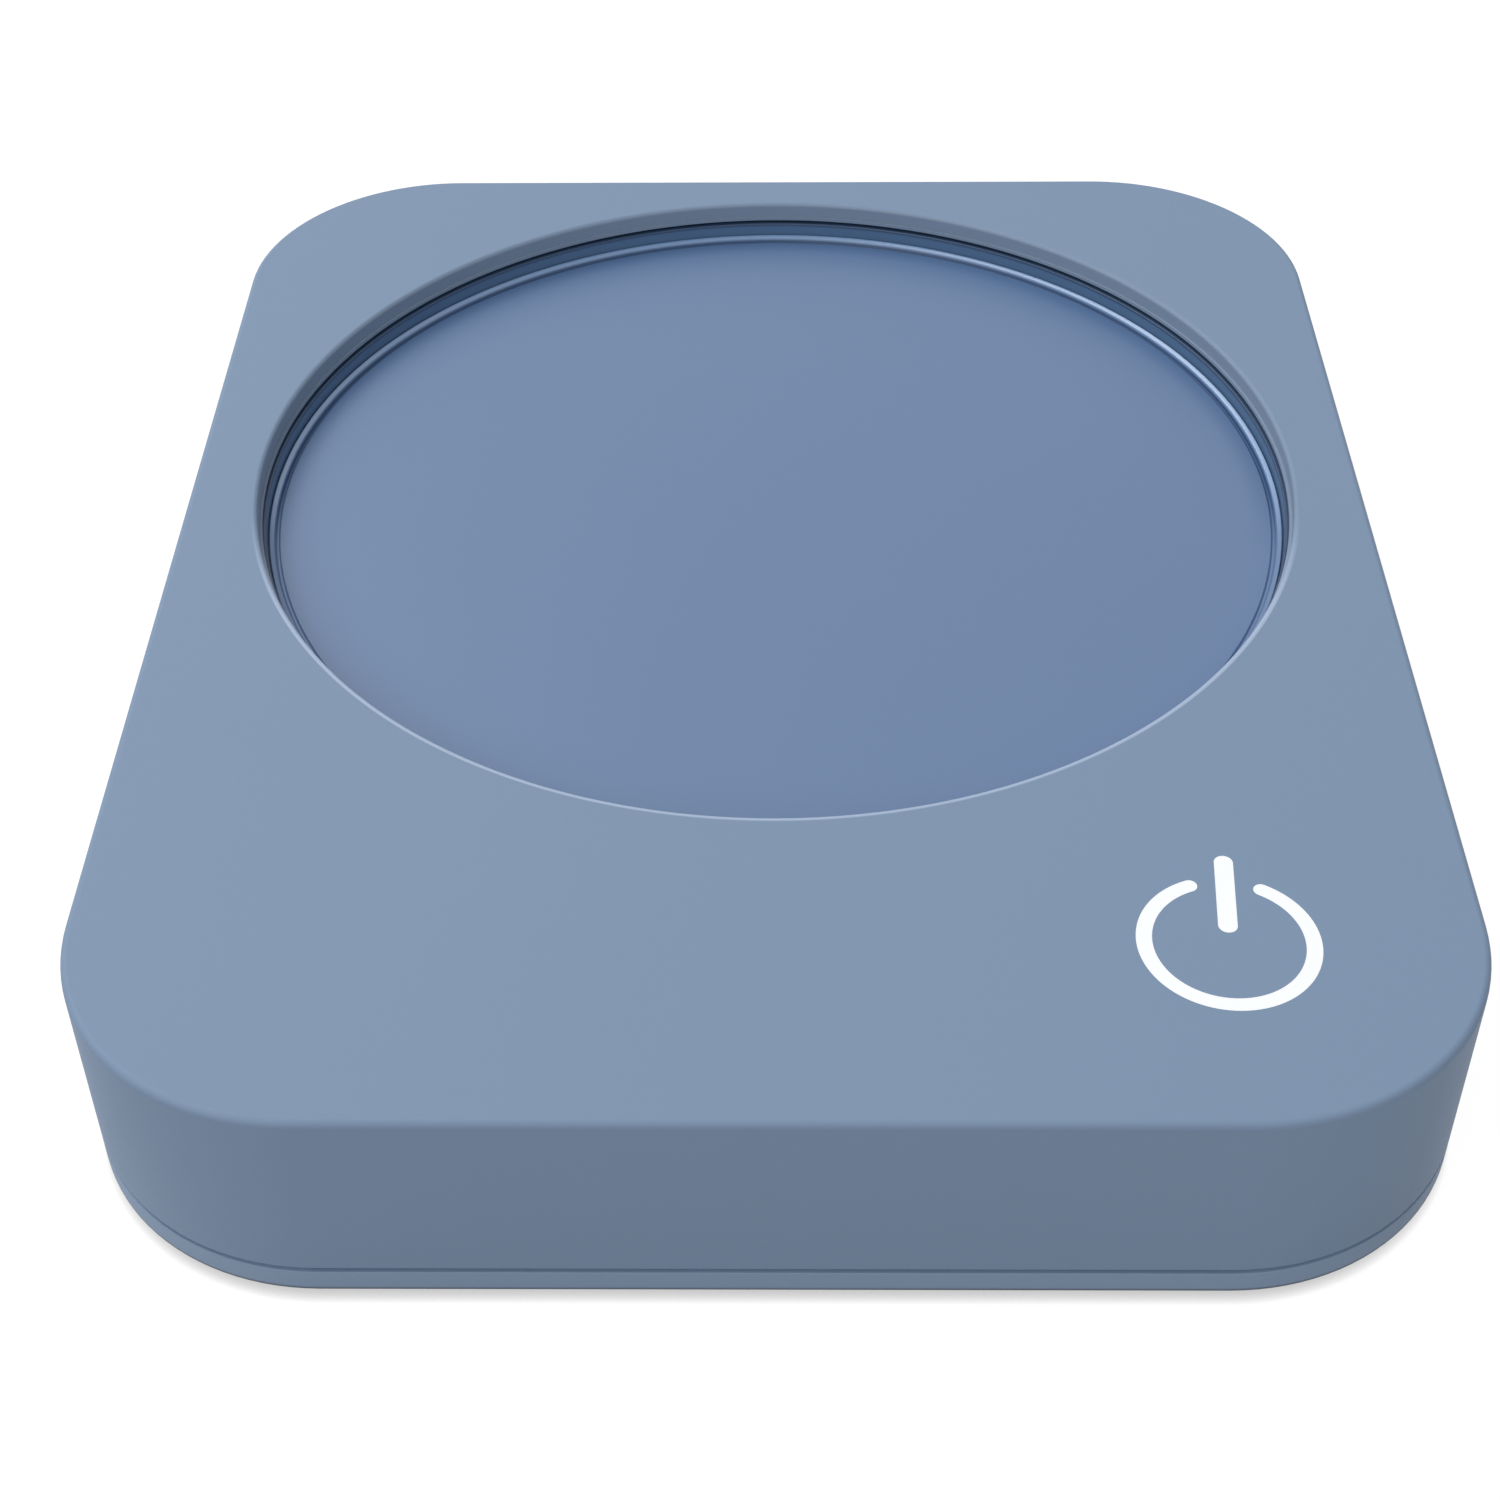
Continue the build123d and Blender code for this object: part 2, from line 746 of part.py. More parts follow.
with BuildPart() as tray_carrier:
    with BuildSketch(Plane.XY.offset(carrier_under_z)):
        with Locations((0, well_y)):
            Circle(ring_outer_radius)
        tray_ears()
        with Locations((lead_window_x, lead_window_y)):
            Rectangle(lead_window_width, lead_window_depth, mode=Mode.SUBTRACT)
        tray_screw_holes(small_screw_radius + screw_gap, Mode.SUBTRACT)
    extrude(amount=carrier_thickness)
    with BuildSketch(Plane.XY.offset(carrier_under_z - sleeve_length)):
        guide_circles(sleeve_outer_radius)
    extrude(amount=sleeve_length)
    with BuildSketch(Plane.XY.offset(carrier_under_z - sleeve_length)):
        guide_circles(sleeve_radius)
    extrude(amount=sleeve_length + carrier_thickness, mode=Mode.SUBTRACT)
    disc_column([(switch_x, switch_y)], nub_radius, plunger_top_z, carrier_under_z)

with BuildPart() as tray_screws:
    with BuildSketch(Plane.XY.offset(carrier_under_z - small_head_height)):
        tray_screw_holes(small_head_radius)
    extrude(amount=small_head_height)
    with BuildSketch(Plane.XY.offset(carrier_under_z)):
        tray_screw_holes(small_screw_radius)
    extrude(amount=small_screw_length)

with BuildPart() as return_springs:
    for place in PolarLocations(guide_circle, guide_count, start_angle=guide_angle).locations:
        coil(
            (place.position.X, place.position.Y + well_y),
            spring_radius,
            spring_radius,
            spring_seat_z + spring_wire_radius + end_gap,
            carrier_under_z - spring_seat_z - 2 * (spring_wire_radius + end_gap),
            spring_turns,
            spring_wire_radius,
        )

with BuildPart() as thermistor:
    disc_column(
        [(pad_window_x + thermistor_offset, sensor_y)],
        thermistor_radius,
        track_under_z - end_gap - thermistor_height,
        track_under_z - end_gap,
    )
    chamfer(thermistor.faces().sort_by(Axis.Z)[0].edges(), thermistor_radius / 3)

with BuildPart() as thermal_fuse:
    fuse_z = track_under_z - end_gap - fuse_radius
    fuse_x = pad_window_x + fuse_offset
    with BuildSketch(Plane(origin=(fuse_x, sensor_y, fuse_z), z_dir=(1, 0, 0))):
        Circle(fuse_radius)
    extrude(amount=fuse_length / 2, both=True)
    chamfer(thermal_fuse.edges().filter_by(GeomType.CIRCLE), fuse_radius / 3)

with BuildPart() as tray_leads:
    # Four thin wires rise from the board through the carrier to the heater
    foot_y = lead_window_y - tray_wire_foot
    head_y = lead_window_y + tray_wire_head
    for wire_offset in tray_wire_offsets:
        wire_x = lead_window_x + wire_offset
        wire(
            [
                (wire_x, foot_y - tray_wire_board_run, tray_wire_low_z),
                (wire_x, foot_y, tray_wire_low_z),
                (wire_x, head_y, tray_wire_high_z),
                (wire_x, head_y + tray_wire_heater_run, tray_wire_high_z),
            ],
            tray_wire_bend,
            tray_wire_radius,
        )

# ---------------------------------------------------------------------------
# Control board and what it carries
# ---------------------------------------------------------------------------

with BuildPart() as control_board:
    with BuildSketch(Plane.XY.offset(board_under_z)):
        with Locations((0, board_y)):
            RectangleRounded(board_width, board_length, board_corner_radius)
        with Locations(*board_holes):
            Circle(small_screw_radius + screw_gap, mode=Mode.SUBTRACT)
    extrude(amount=board_thickness)

with BuildPart() as board_screws:
    disc_column(board_holes, small_head_radius, board_z, board_z + small_head_height)
    disc_column(board_holes, small_screw_radius, board_screw_tip_z, board_z)
    disc_column(inlet_holes, small_head_radius, inlet_board_z, inlet_board_z + small_head_height)
    disc_column(inlet_holes, small_screw_radius, inlet_screw_tip_z, inlet_board_z)

with BuildPart() as controller_chip:
    with BuildSketch(Plane.XY.offset(board_z)):
        with Locations((chip_x, chip_y)):
            Rectangle(chip_length, chip_width)
    extrude(amount=chip_height)
    with BuildSketch(Plane.XY.offset(board_z)):
        with Locations((chip_x, chip_y)):
            with GridLocations(chip_pin_pitch, 1, chip_pin_count, 1):
                Rectangle(chip_pin_width, chip_pin_span)
    extrude(amount=chip_pin_height)

with BuildPart() as power_mosfet:
    with BuildSketch(Plane.XY.offset(board_z)):
        with Locations((mosfet_x, mosfet_y)):
            Rectangle(mosfet_width, mosfet_length)
    extrude(amount=mosfet_height)
    with BuildSketch(Plane.XY.offset(board_z)):
        with Locations((mosfet_x, mosfet_y + mosfet_length / 2)):
            Rectangle(mosfet_tab_width, mosfet_tab_length, align=(Align.CENTER, Align.MIN))
        with Locations((mosfet_x, mosfet_y - mosfet_length / 2)):
            with GridLocations(mosfet_leg_pitch, 1, 2, 1):
                Rectangle(mosfet_leg_width, mosfet_leg_length, align=(Align.CENTER, Align.MAX))
    extrude(amount=chip_pin_height)

with BuildPart() as capacitors:
    with BuildSketch(Plane.XY.offset(board_z)):
        with Locations(*can_points):
            Rectangle(can_base, can_base)
    extrude(amount=can_base_height)
    can_low_z = board_z + can_base_height
    disc_column(can_points, can_radius, can_low_z, can_low_z + can_height)
    chamfer(capacitors.faces().filter_by(Plane.XY).group_by(Axis.Z)[-1].edges(), can_edge)

with BuildPart() as chip_resistors:
    with Locations((chip_x + resistor_offset, chip_y, board_z)):
        with GridLocations(resistor_pitch_x, resistor_pitch_y, resistor_rows, resistor_rows):
            Box(resistor_length, resistor_width, resistor_height, align=bottom_aligned)

with BuildPart() as mug_switch:
    with BuildSketch(Plane.XY.offset(board_z)):
        with Locations((switch_x, switch_y)):
            RectangleRounded(switch_size, switch_size, switch_cap)
    extrude(amount=switch_height)
    switch_cap_z = switch_top_z - switch_cap
    flange_bore = plunger_flange_radius + guide_clearance
    disc_column([(switch_x, switch_y)], flange_bore, board_z, switch_cap_z, Mode.SUBTRACT)
    plunger_bore = plunger_radius + guide_clearance
    disc_column([(switch_x, switch_y)], plunger_bore, switch_cap_z, switch_top_z, Mode.SUBTRACT)

with BuildPart() as mug_switch_plunger:
    flange_z = board_z + plunger_foot_gap
    flange_top_z = flange_z + plunger_flange_height
    disc_column([(switch_x, switch_y)], plunger_flange_radius, flange_z, flange_top_z)
    disc_column([(switch_x, switch_y)], plunger_radius, flange_top_z, plunger_top_z)

# ---------------------------------------------------------------------------
# Power inlet
# ---------------------------------------------------------------------------

with BuildPart() as inlet_board:
    with BuildSketch(Plane.XY.offset(inlet_board_under_z)):
        with Locations((0, inlet_board_y)):
            Rectangle(inlet_board_width, inlet_board_length)
        with Locations(*inlet_holes):
            Circle(small_screw_radius + screw_gap, mode=Mode.SUBTRACT)
    extrude(amount=inlet_board_thickness)

with BuildPart() as inlet_shell:
    with BuildSketch(inlet_plane(inlet_mouth_y)):
        SlotOverall(inlet_width, inlet_height)
        SlotOverall(
            inlet_width - 2 * inlet_sheet,
            inlet_height - 2 * inlet_sheet,
            mode=Mode.SUBTRACT,
        )
    extrude(amount=-inlet_depth)

with BuildPart() as inlet_tongue:
    stopper_y = inlet_mouth_y - inlet_depth + stopper_depth
    with BuildSketch(inlet_plane(stopper_y)):
        SlotOverall(
            inlet_width - 2 * (inlet_sheet + end_gap),
            inlet_height - 2 * (inlet_sheet + end_gap),
        )
    extrude(amount=-stopper_depth)
    with BuildSketch(inlet_plane(stopper_y)):
        Rectangle(tongue_width, tongue_thickness)
    extrude(amount=tongue_length)

with BuildPart() as supply_leads:
    # Two wires run from the inlet board along the floor and up onto the control board
    start_y = inlet_hole_y + supply_wire_start
    landing_y = well_y + guide_circle - supply_wire_landing
    for offset in (0, supply_wire_pitch):
        start_x = offset - supply_wire_pitch
        run_x = supply_wire_x + offset
        wire(
            [
                (start_x, start_y, supply_wire_inlet_z),
                (start_x, start_y - supply_wire_inlet_run - offset, supply_wire_inlet_z),
                (run_x, landing_y - offset, supply_wire_low_z),
                (run_x, board_back_y + supply_wire_take_off, supply_wire_low_z),
                (run_x, board_back_y + supply_wire_board_run, supply_wire_board_z),
                (run_x, board_back_y - supply_wire_board_run, supply_wire_board_z),
            ],
            supply_wire_bend,
            supply_wire_radius,
        )

# ---------------------------------------------------------------------------
# Export
# ---------------------------------------------------------------------------

pieces = {
    "top_cover": top_cover,
    "base_cover": base_cover,
    "rubber_feet": rubber_feet,
    "cover_screws": cover_screws,
    "power_light_guide": power_light_guide,
    "status_led": status_led,
    "touch_spring": touch_spring,
    "tray_ring": tray_ring,
    "heating_plate": heating_plate,
    "heating_film": heating_film,
    "heating_track": heating_track,
    "insulation_pad": insulation_pad,
    "tray_carrier": tray_carrier,
    "tray_screws": tray_screws,
    "return_springs": return_springs,
    "thermistor": thermistor,
    "thermal_fuse": thermal_fuse,
    "tray_leads": tray_leads,
    "control_board": control_board,
    "board_screws": board_screws,
    "controller_chip": controller_chip,
    "power_mosfet": power_mosfet,
    "capacitors": capacitors,
    "chip_resistors": chip_resistors,
    "mug_switch": mug_switch,
    "mug_switch_plunger": mug_switch_plunger,
    "inlet_board": inlet_board,
    "inlet_shell": inlet_shell,
    "inlet_tongue": inlet_tongue,
    "supply_leads": supply_leads,
}

for name, piece in pieces.items():
    piece.part.label = name
    export_step(piece.part, f"parts/{name}.step")
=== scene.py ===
# %% [markdown]
# # Dressing an electric mug warmer
# The construction is finished: thirty named parts stand in one shared frame at
# their real size.  This lesson dresses what can be seen of them.  The two halves
# of the housing, the ring and the plate of the floating tray, the light guide, the
# feet and the power inlet are modelled again with soft edges and smooth curves.
# The parts inside keep their solids and only get a finish, except the springs and
# leads under the tray, which also have to give.

# %% Load the frame
import json
from math import cos, hypot, pi, radians, sin, sqrt, tan

import bmesh
import bpy
from mathutils import Matrix, Vector


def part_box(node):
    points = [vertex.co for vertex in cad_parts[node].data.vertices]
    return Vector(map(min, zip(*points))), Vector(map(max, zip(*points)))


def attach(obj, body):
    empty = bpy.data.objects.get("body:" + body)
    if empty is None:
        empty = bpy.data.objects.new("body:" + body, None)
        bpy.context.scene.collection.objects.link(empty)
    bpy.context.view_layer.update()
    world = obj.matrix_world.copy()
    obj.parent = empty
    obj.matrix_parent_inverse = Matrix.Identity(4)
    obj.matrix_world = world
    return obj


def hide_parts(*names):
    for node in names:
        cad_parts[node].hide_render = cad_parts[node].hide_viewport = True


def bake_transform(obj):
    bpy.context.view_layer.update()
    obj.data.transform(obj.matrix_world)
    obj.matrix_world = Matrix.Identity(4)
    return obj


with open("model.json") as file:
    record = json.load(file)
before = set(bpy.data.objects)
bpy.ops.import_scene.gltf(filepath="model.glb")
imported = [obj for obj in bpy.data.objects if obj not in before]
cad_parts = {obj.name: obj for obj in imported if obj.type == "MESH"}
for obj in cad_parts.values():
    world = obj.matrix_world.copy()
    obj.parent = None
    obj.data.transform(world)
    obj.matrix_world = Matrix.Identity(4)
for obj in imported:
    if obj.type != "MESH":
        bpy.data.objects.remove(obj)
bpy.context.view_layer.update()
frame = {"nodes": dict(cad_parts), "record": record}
mm = 0.001


def in_mm(length):
    """A length in millimetres, rounded for printing."""
    return round(length / mm, 2)


# %% [markdown]
# Lengths are in metres, so a named millimetre keeps the numbers readable.  Most
# places are read from the solids, so that a piece can't drift away from what
# carries it.  Only what a box can't tell, such as a corner radius or the
# thickness of a wall, is written down as a number of its own.

# %% Read the places from the solids
cover_low, cover_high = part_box("top_cover")
plate_low, plate_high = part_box("heating_plate")
feet_low, feet_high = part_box("rubber_feet")
board_low, board_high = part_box("control_board")
inlet_board_low, inlet_board_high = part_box("inlet_board")
shell_low, shell_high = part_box("inlet_shell")
tongue_low, tongue_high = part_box("inlet_tongue")

body_width = cover_high.x - cover_low.x
body_depth = cover_high.y - cover_low.y
deck_z = cover_high.z
seam_z = cover_low.z
base_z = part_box("base_cover")[0].z
ring_front_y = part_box("tray_ring")[0].y
carrier_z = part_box("insulation_pad")[0].z
guide_under_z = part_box("power_light_guide")[0].z
well_y = (plate_low.y + plate_high.y) / 2
print("housing", in_mm(body_width), "x", in_mm(body_depth), "mm, deck at", in_mm(deck_z))

# %% [markdown]
# A few helpers keep the modelling close to working by hand.  A primitive is
# added and opened for editing, faces or edges are picked by where they lie, or by
# which way they look, and an operator then works on what is picked.  Everything
# is deselected first, because an operator acts on all that is selected.

# %% Helpers for picking and shaping
bpy.ops.object.select_all(action="DESELECT")
merge_distance = 0.001 * mm
square_on = 0.9


def start_piece(name):
    """Names the primitive that was just added and opens it for editing."""
    piece = bpy.context.active_object
    piece.name = name
    piece.data.name = name
    bpy.ops.object.mode_set(mode="EDIT")
    return piece


def pick(kind, test):
    """Selects the faces, edges or vertices that pass a test, and nothing else."""
    piece = bpy.context.edit_object
    mesh = bmesh.from_edit_mesh(piece.data)
    place = piece.matrix_world
    bpy.ops.mesh.select_mode(type=kind)
    bpy.ops.mesh.select_all(action="DESELECT")
    if kind == "FACE":
        turned = place.to_3x3()
        found = [
            face
            for face in mesh.faces
            if test(place @ face.calc_center_median(), turned @ face.normal)
        ]
    elif kind == "EDGE":
        found = [edge for edge in mesh.edges if all(test(place @ end.co) for end in edge.verts)]
    else:
        found = [point for point in mesh.verts if test(place @ point.co)]
    for element in found:
        element.select_set(True)
    bmesh.update_edit_mesh(piece.data)
    return len(found)


def pick_all():
    """Selects the whole piece."""
    bpy.ops.mesh.select_all(action="SELECT")


def near(value, target, slack=0.02 * mm):
    """True where two lengths are the same but for rounding."""
    return abs(value - target) < slack


def extrude(x=0.0, y=0.0, z=0.0):
    """Extrudes what is picked along a straight line."""
    bpy.ops.mesh.extrude_region_move(TRANSFORM_OT_translate={"value": (x, y, z)})


def inset(thickness):
    """Insets the picked face by the same width all round."""
    bpy.ops.mesh.inset(thickness=thickness, use_even_offset=True)


def round_edges(width, segments):
    """Rounds the picked edges."""
    bpy.ops.mesh.bevel(offset=width, segments=segments, affect="EDGES", clamp_overlap=False)


def merge_doubles():
    """Joins the points of the piece that lie on each other."""
    pick_all()
    bpy.ops.mesh.remove_doubles(threshold=merge_distance)


def face_outwards():
    """Turns all the faces of the piece outwards."""
    pick_all()
    bpy.ops.mesh.normals_make_consistent(inside=False)


def leave_edit(piece):
    """Closes edit mode and leaves just this piece selected."""
    if bpy.context.mode != "OBJECT":
        bpy.ops.object.mode_set(mode="OBJECT")
    bpy.ops.object.select_all(action="DESELECT")
    piece.select_set(True)
    bpy.context.view_layer.objects.active = piece


def add_object(name, data):
    """A new object for a mesh, a lamp or a camera."""
    made = bpy.data.objects.new(name, data)
    bpy.context.scene.collection.objects.link(made)
    return made


# %% [markdown]
# Modifiers do what edit mode is clumsy at.  A boolean joins bosses to a wall or
# cuts a round well out of a flat deck and keeps the deck flat.  The last
# modifier of a piece, Weighted Normal, lets the big faces rule the shading, so
# a flat wall stays flat in the light up to its rounded edge.

# %% Helpers for modifiers and for handing over a piece
smooth_angle = radians(33)


def modify(piece, kind, **settings):
    """Adds one modifier and applies it at once."""
    leave_edit(piece)
    modifier = piece.modifiers.new(kind.title(), kind)
    for name, value in settings.items():
        setattr(modifier, name, value)
    bpy.ops.object.modifier_apply(modifier=modifier.name)


def combine(piece, tool, operation):
    """Joins a tool shape to a piece, or cuts it out, and removes the tool."""
    modify(piece, "BOOLEAN", operation=operation, object=tool, solver="EXACT")
    bpy.data.objects.remove(tool)


def hand_over(piece, body, slot, *nodes):
    """Puts the origin at zero, shades the piece, ties it to its body and hides the solids it replaces."""
    leave_edit(piece)
    bpy.ops.object.transform_apply(location=True, rotation=True, scale=True)
    bpy.ops.object.shade_smooth_by_angle(angle=smooth_angle)
    modify(piece, "WEIGHTED_NORMAL", keep_sharp=True, weight=50)
    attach(piece, body)
    if nodes:
        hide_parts(*nodes)
    size = [in_mm(side) for side in piece.dimensions]
    print(piece.name, len(piece.data.polygons), "faces,", size, "mm")


# %% [markdown]
# Bosses, posts, bores and vents repeat a lot.  They are drawn as loose columns
# and blocks in one mesh, which is then joined or cut in a single boolean.

# %% Tool shapes
def tool_shape(name, columns=(), blocks=(), sides=64):
    """Upright cylinders and boxes, loose in one mesh.

    A column is (x, y, radius, low, high), and a block is (x, y, width, depth, low, high)
    with an angle after that if it is turned.
    """
    bpy.ops.mesh.primitive_plane_add(size=mm)
    piece = start_piece(name)
    bpy.ops.mesh.delete(type="VERT")
    for x, y, radius, low, high in columns:
        middle = (x, y, (low + high) / 2)
        length = high - low
        bpy.ops.mesh.primitive_cylinder_add(vertices=sides, radius=radius, depth=length, location=middle)
    for x, y, width, depth, low, high, *turned in blocks:
        middle = (x, y, (low + high) / 2)
        size = (width, depth, high - low)
        angles = (0, 0, turned[0] if turned else 0)
        bpy.ops.mesh.primitive_cube_add(size=1, location=middle, rotation=angles, scale=size)
    leave_edit(piece)
    return piece


# %% [markdown]
# Round pieces are drawn as half a section and spun.  The section is a list of
# corners, each with the radius that rounds it, as on a workshop drawing.

# %% Sections and turned shapes
round_steps = 256


def soften(corners, steps=5):
    """Turns corners (across, up, rounding) into the points of a line with round corners."""
    line = []
    for index, (across, up, rounding) in enumerate(corners):
        corner = Vector((across, up))
        if not rounding:
            line.append(corner)
            continue
        back = (Vector(corners[index - 1][:2]) - corner).normalized()
        onward = (Vector(corners[index + 1][:2]) - corner).normalized()
        half = back.angle(onward) / 2
        centre = corner + (back + onward).normalized() * (rounding / sin(half))
        first = corner + back * (rounding / tan(half)) - centre
        last = corner + onward * (rounding / tan(half)) - centre
        spokes = [first.slerp(last, step / steps).normalized() for step in range(steps + 1)]
        line += [centre + spoke * rounding for spoke in spokes]
    return line


def draw(name, points):
    """Draws a line: one vertex at the first point, extruded to each of the others."""
    bpy.ops.mesh.primitive_plane_add(size=mm)
    piece = start_piece(name)
    bpy.ops.mesh.select_mode(type="VERT")
    bpy.ops.mesh.merge(type="CENTER")
    bpy.ops.transform.translate(value=points[0])
    for here, there in zip(points, points[1:]):
        step = Vector(there) - Vector(here)
        bpy.ops.mesh.extrude_vertices_move(TRANSFORM_OT_translate={"value": step})
    return piece


def turn(name, corners, x=0.0, y=well_y, steps=round_steps):
    """Spins a half section round an upright axis and closes what is open."""
    piece = draw(name, [(x + across, y, up) for across, up in soften(corners)])
    pick_all()
    bpy.ops.mesh.spin(steps=steps, angle=2 * pi, center=(x, y, 0), axis=(0, 0, 1))
    merge_doubles()
    bpy.ops.mesh.fill_holes(sides=0)
    face_outwards()
    leave_edit(piece)
    return piece


# %% [markdown]
# ## The top cover
# One moulding makes the deck and the four walls.  By hand it starts as a plane
# with rounded corners, is pulled up to the deck, and is hollowed from below by
# an inset and a second pull.  A first, shallow inset makes the upper half of the
# groove at the seam, so the parting line throws a real shadow.

# %% Top cover: outline, walls and groove
corner_radius = 19.5 * mm
corner_segments = 28
wall = 2.0 * mm
deck_thickness = 1.8 * mm
deck_edge_radius = 0.6 * mm
deck_edge_segments = 8
seam_width = 0.3 * mm
seam_drop = 0.15 * mm
seam_depth = 0.5 * mm
seam_edge_radius = 0.1 * mm
small_edge_segments = 3
outline_slack = 0.05 * mm
deck_under_z = deck_z - deck_thickness
groove_z = seam_z + seam_width
corner_x = body_width / 2 - corner_radius
corner_y = body_depth / 2 - corner_radius


def outline_face(name, z):
    """A flat face with the plan outline of the housing, at this height."""
    bpy.ops.mesh.primitive_plane_add(size=1, location=(0, 0, z))
    piece = start_piece(name)
    bpy.ops.transform.resize(value=(body_width, body_depth, 1))
    bpy.ops.mesh.bevel(offset=corner_radius, segments=corner_segments, affect="VERTICES")
    return piece


def on_outline(point, inside=0.0):
    """True for a point on the outline of the housing, or this far inside it."""
    across = max(abs(point.x) - corner_x, 0)
    along = max(abs(point.y) - corner_y, 0)
    return near(hypot(across, along), corner_radius - inside, outline_slack)


top_cover = outline_face("top_cover_shell", groove_z)
extrude(z=deck_z - groove_z)
face_outwards()
pick("EDGE", lambda point: near(point.z, deck_z))
round_edges(deck_edge_radius, deck_edge_segments)
pick("FACE", lambda point, normal: near(point.z, groove_z) and normal.z < -square_on)
inset(seam_depth)
extrude(z=seam_z - groove_z)
inset(wall - seam_depth)
extrude(z=deck_under_z - seam_z)
pick("EDGE", lambda point: near(point.z, groove_z) and on_outline(point))
round_edges(seam_edge_radius, small_edge_segments)
leave_edit(top_cover)
print("walls of the top cover:", len(top_cover.data.polygons), "faces")

# %% [markdown]
# The well is cut with a shaped cutter, like a form tool: its section carries
# the rounded rim and the narrow ledge at the bottom of the wall, so both come
# out of one boolean and stay exactly round.

# %% Top cover: the well
well_radius = 47.0 * mm
well_edge_radius = 0.4 * mm
well_ledge_width = 0.25 * mm
well_ledge_height = 0.3 * mm
clear = 1.0 * mm

ledge_z = deck_under_z + well_ledge_height
well_cutter = turn("well_cutter", [
    (well_radius + well_edge_radius, deck_z + clear, 0),
    (well_radius + well_edge_radius, deck_z, 0),
    (well_radius, deck_z, well_edge_radius),
    (well_radius, ledge_z, 0),
    (well_radius - well_ledge_width, ledge_z, 0),
    (well_radius - well_ledge_width, deck_under_z - clear, 0),
])
combine(top_cover, well_cutter, "DIFFERENCE")
print("well of", in_mm(2 * well_radius), "mm cut,", len(top_cover.data.polygons), "faces")

# %% [markdown]
# The power symbol is a window in the deck, filled flush by the light guide.
# Window and guide have the same outline, so one function draws a stroke for
# both.  The open ring is a short radial edge spun round.  Both ends are pulled on
# by half the stroke, and rounding the corners there by as much makes them round.

# %% Power symbol: the open ring
symbol_inset_x = 19.4 * mm
symbol_inset_y = 17.5 * mm
symbol_radius = 6.25 * mm
symbol_stroke = 1.2 * mm
symbol_gap = radians(51.0)
symbol_direction = radians(85.5)
symbol_x = body_width / 2 - symbol_inset_x
symbol_y = symbol_inset_y - body_depth / 2
end_segments = 12
stroke_steps = 96


def thicken(piece, height):
    """Turns a flat drawing into a solid and closes edit mode."""
    merge_doubles()
    pick_all()
    extrude(z=height)
    face_outwards()
    leave_edit(piece)
    return piece


def symbol_ring(name, low, high):
    """The open ring of the power symbol, as a solid between two levels."""
    start = symbol_direction + symbol_gap / 2
    sweep = 2 * pi - symbol_gap
    centre = Vector((symbol_x, symbol_y, low))
    spoke = Vector((cos(start), sin(start), 0))
    half = symbol_stroke / 2
    piece = draw(name, [centre + spoke * (symbol_radius - half), centre + spoke * (symbol_radius + half)])
    pick_all()
    bpy.ops.mesh.spin(steps=stroke_steps, angle=-sweep, center=centre, axis=(0, 0, 1))
    for end, side in ((start, -1), (start + sweep, 1)):
        spoke = Vector((cos(end), sin(end), 0))
        ahead = Vector((-sin(end), cos(end), 0)) * side

        def on_end(point, spoke=spoke, ahead=ahead):
            reach = point - centre
            return near(reach.dot(ahead), 0) and reach.dot(spoke) > 0

        def on_tip(point, ahead=ahead, spoke=spoke):
            reach = point - centre
            return near(reach.dot(ahead), half) and near(reach.dot(spoke), symbol_radius, symbol_stroke)

        pick("EDGE", on_end)
        extrude(*(ahead * half))
        pick("VERT", on_tip)
        bpy.ops.mesh.bevel(offset=half, segments=end_segments, affect="VERTICES", clamp_overlap=True)
    return thicken(piece, high - low)


# %% [markdown]
# The bar is a short edge pulled out along the axis of the symbol, and has round
# ends too.  Both strokes are then cut through the deck.

# %% Power symbol: the bar and the windows
bar_stroke = 1.45 * mm
bar_length = 8.15 * mm
bar_foot = 0.95 * mm


def symbol_bar(name, low, high):
    """The bar of the power symbol, as a solid between two levels."""
    along = Vector((cos(symbol_direction), sin(symbol_direction), 0))
    across = Vector((-along.y, along.x, 0)) * bar_stroke / 2
    foot = Vector((symbol_x, symbol_y, low)) + along * bar_foot
    piece = draw(name, [foot - across, foot + across])
    pick_all()
    extrude(*(along * bar_length))
    pick_all()
    half = bar_stroke / 2
    bpy.ops.mesh.bevel(offset=half, segments=end_segments, affect="VERTICES", clamp_overlap=True)
    return thicken(piece, high - low)


for stroke in (symbol_ring, symbol_bar):
    combine(top_cover, stroke("symbol_window", deck_under_z - clear, deck_z + clear), "DIFFERENCE")
print("symbol windows cut,", len(top_cover.data.polygons), "faces")

# %% [markdown]
# The power inlet looks out of a window at the back, set in a shallow recess for
# the plug.  Both are flat-sided slots: a cylinder lying along Y whose two
# halves are pulled apart.

# %% Inlet window and recess
inlet_window_gap = 0.2 * mm
inlet_recess_margin = 1.7 * mm
inlet_recess_depth = 0.8 * mm
slot_sides = 96
inlet_z = (shell_low.z + shell_high.z) / 2
inlet_width = shell_high.x - shell_low.x
inlet_height = shell_high.z - shell_low.z
back_y = body_depth / 2


def slot_solid(name, width, height, front, back):
    """A slot shape lying along Y between two depths, round at both sides."""
    bpy.ops.mesh.primitive_cylinder_add(
        vertices=slot_sides,
        radius=height / 2,
        depth=back - front,
        location=(0, (front + back) / 2, inlet_z),
        rotation=(pi / 2, 0, 0),
    )
    piece = start_piece(name)
    for side in (-1, 1):
        pick("VERT", lambda point: point.x * side > merge_distance)
        bpy.ops.transform.translate(value=(side * (width - height) / 2, 0, 0))
    leave_edit(piece)
    return piece


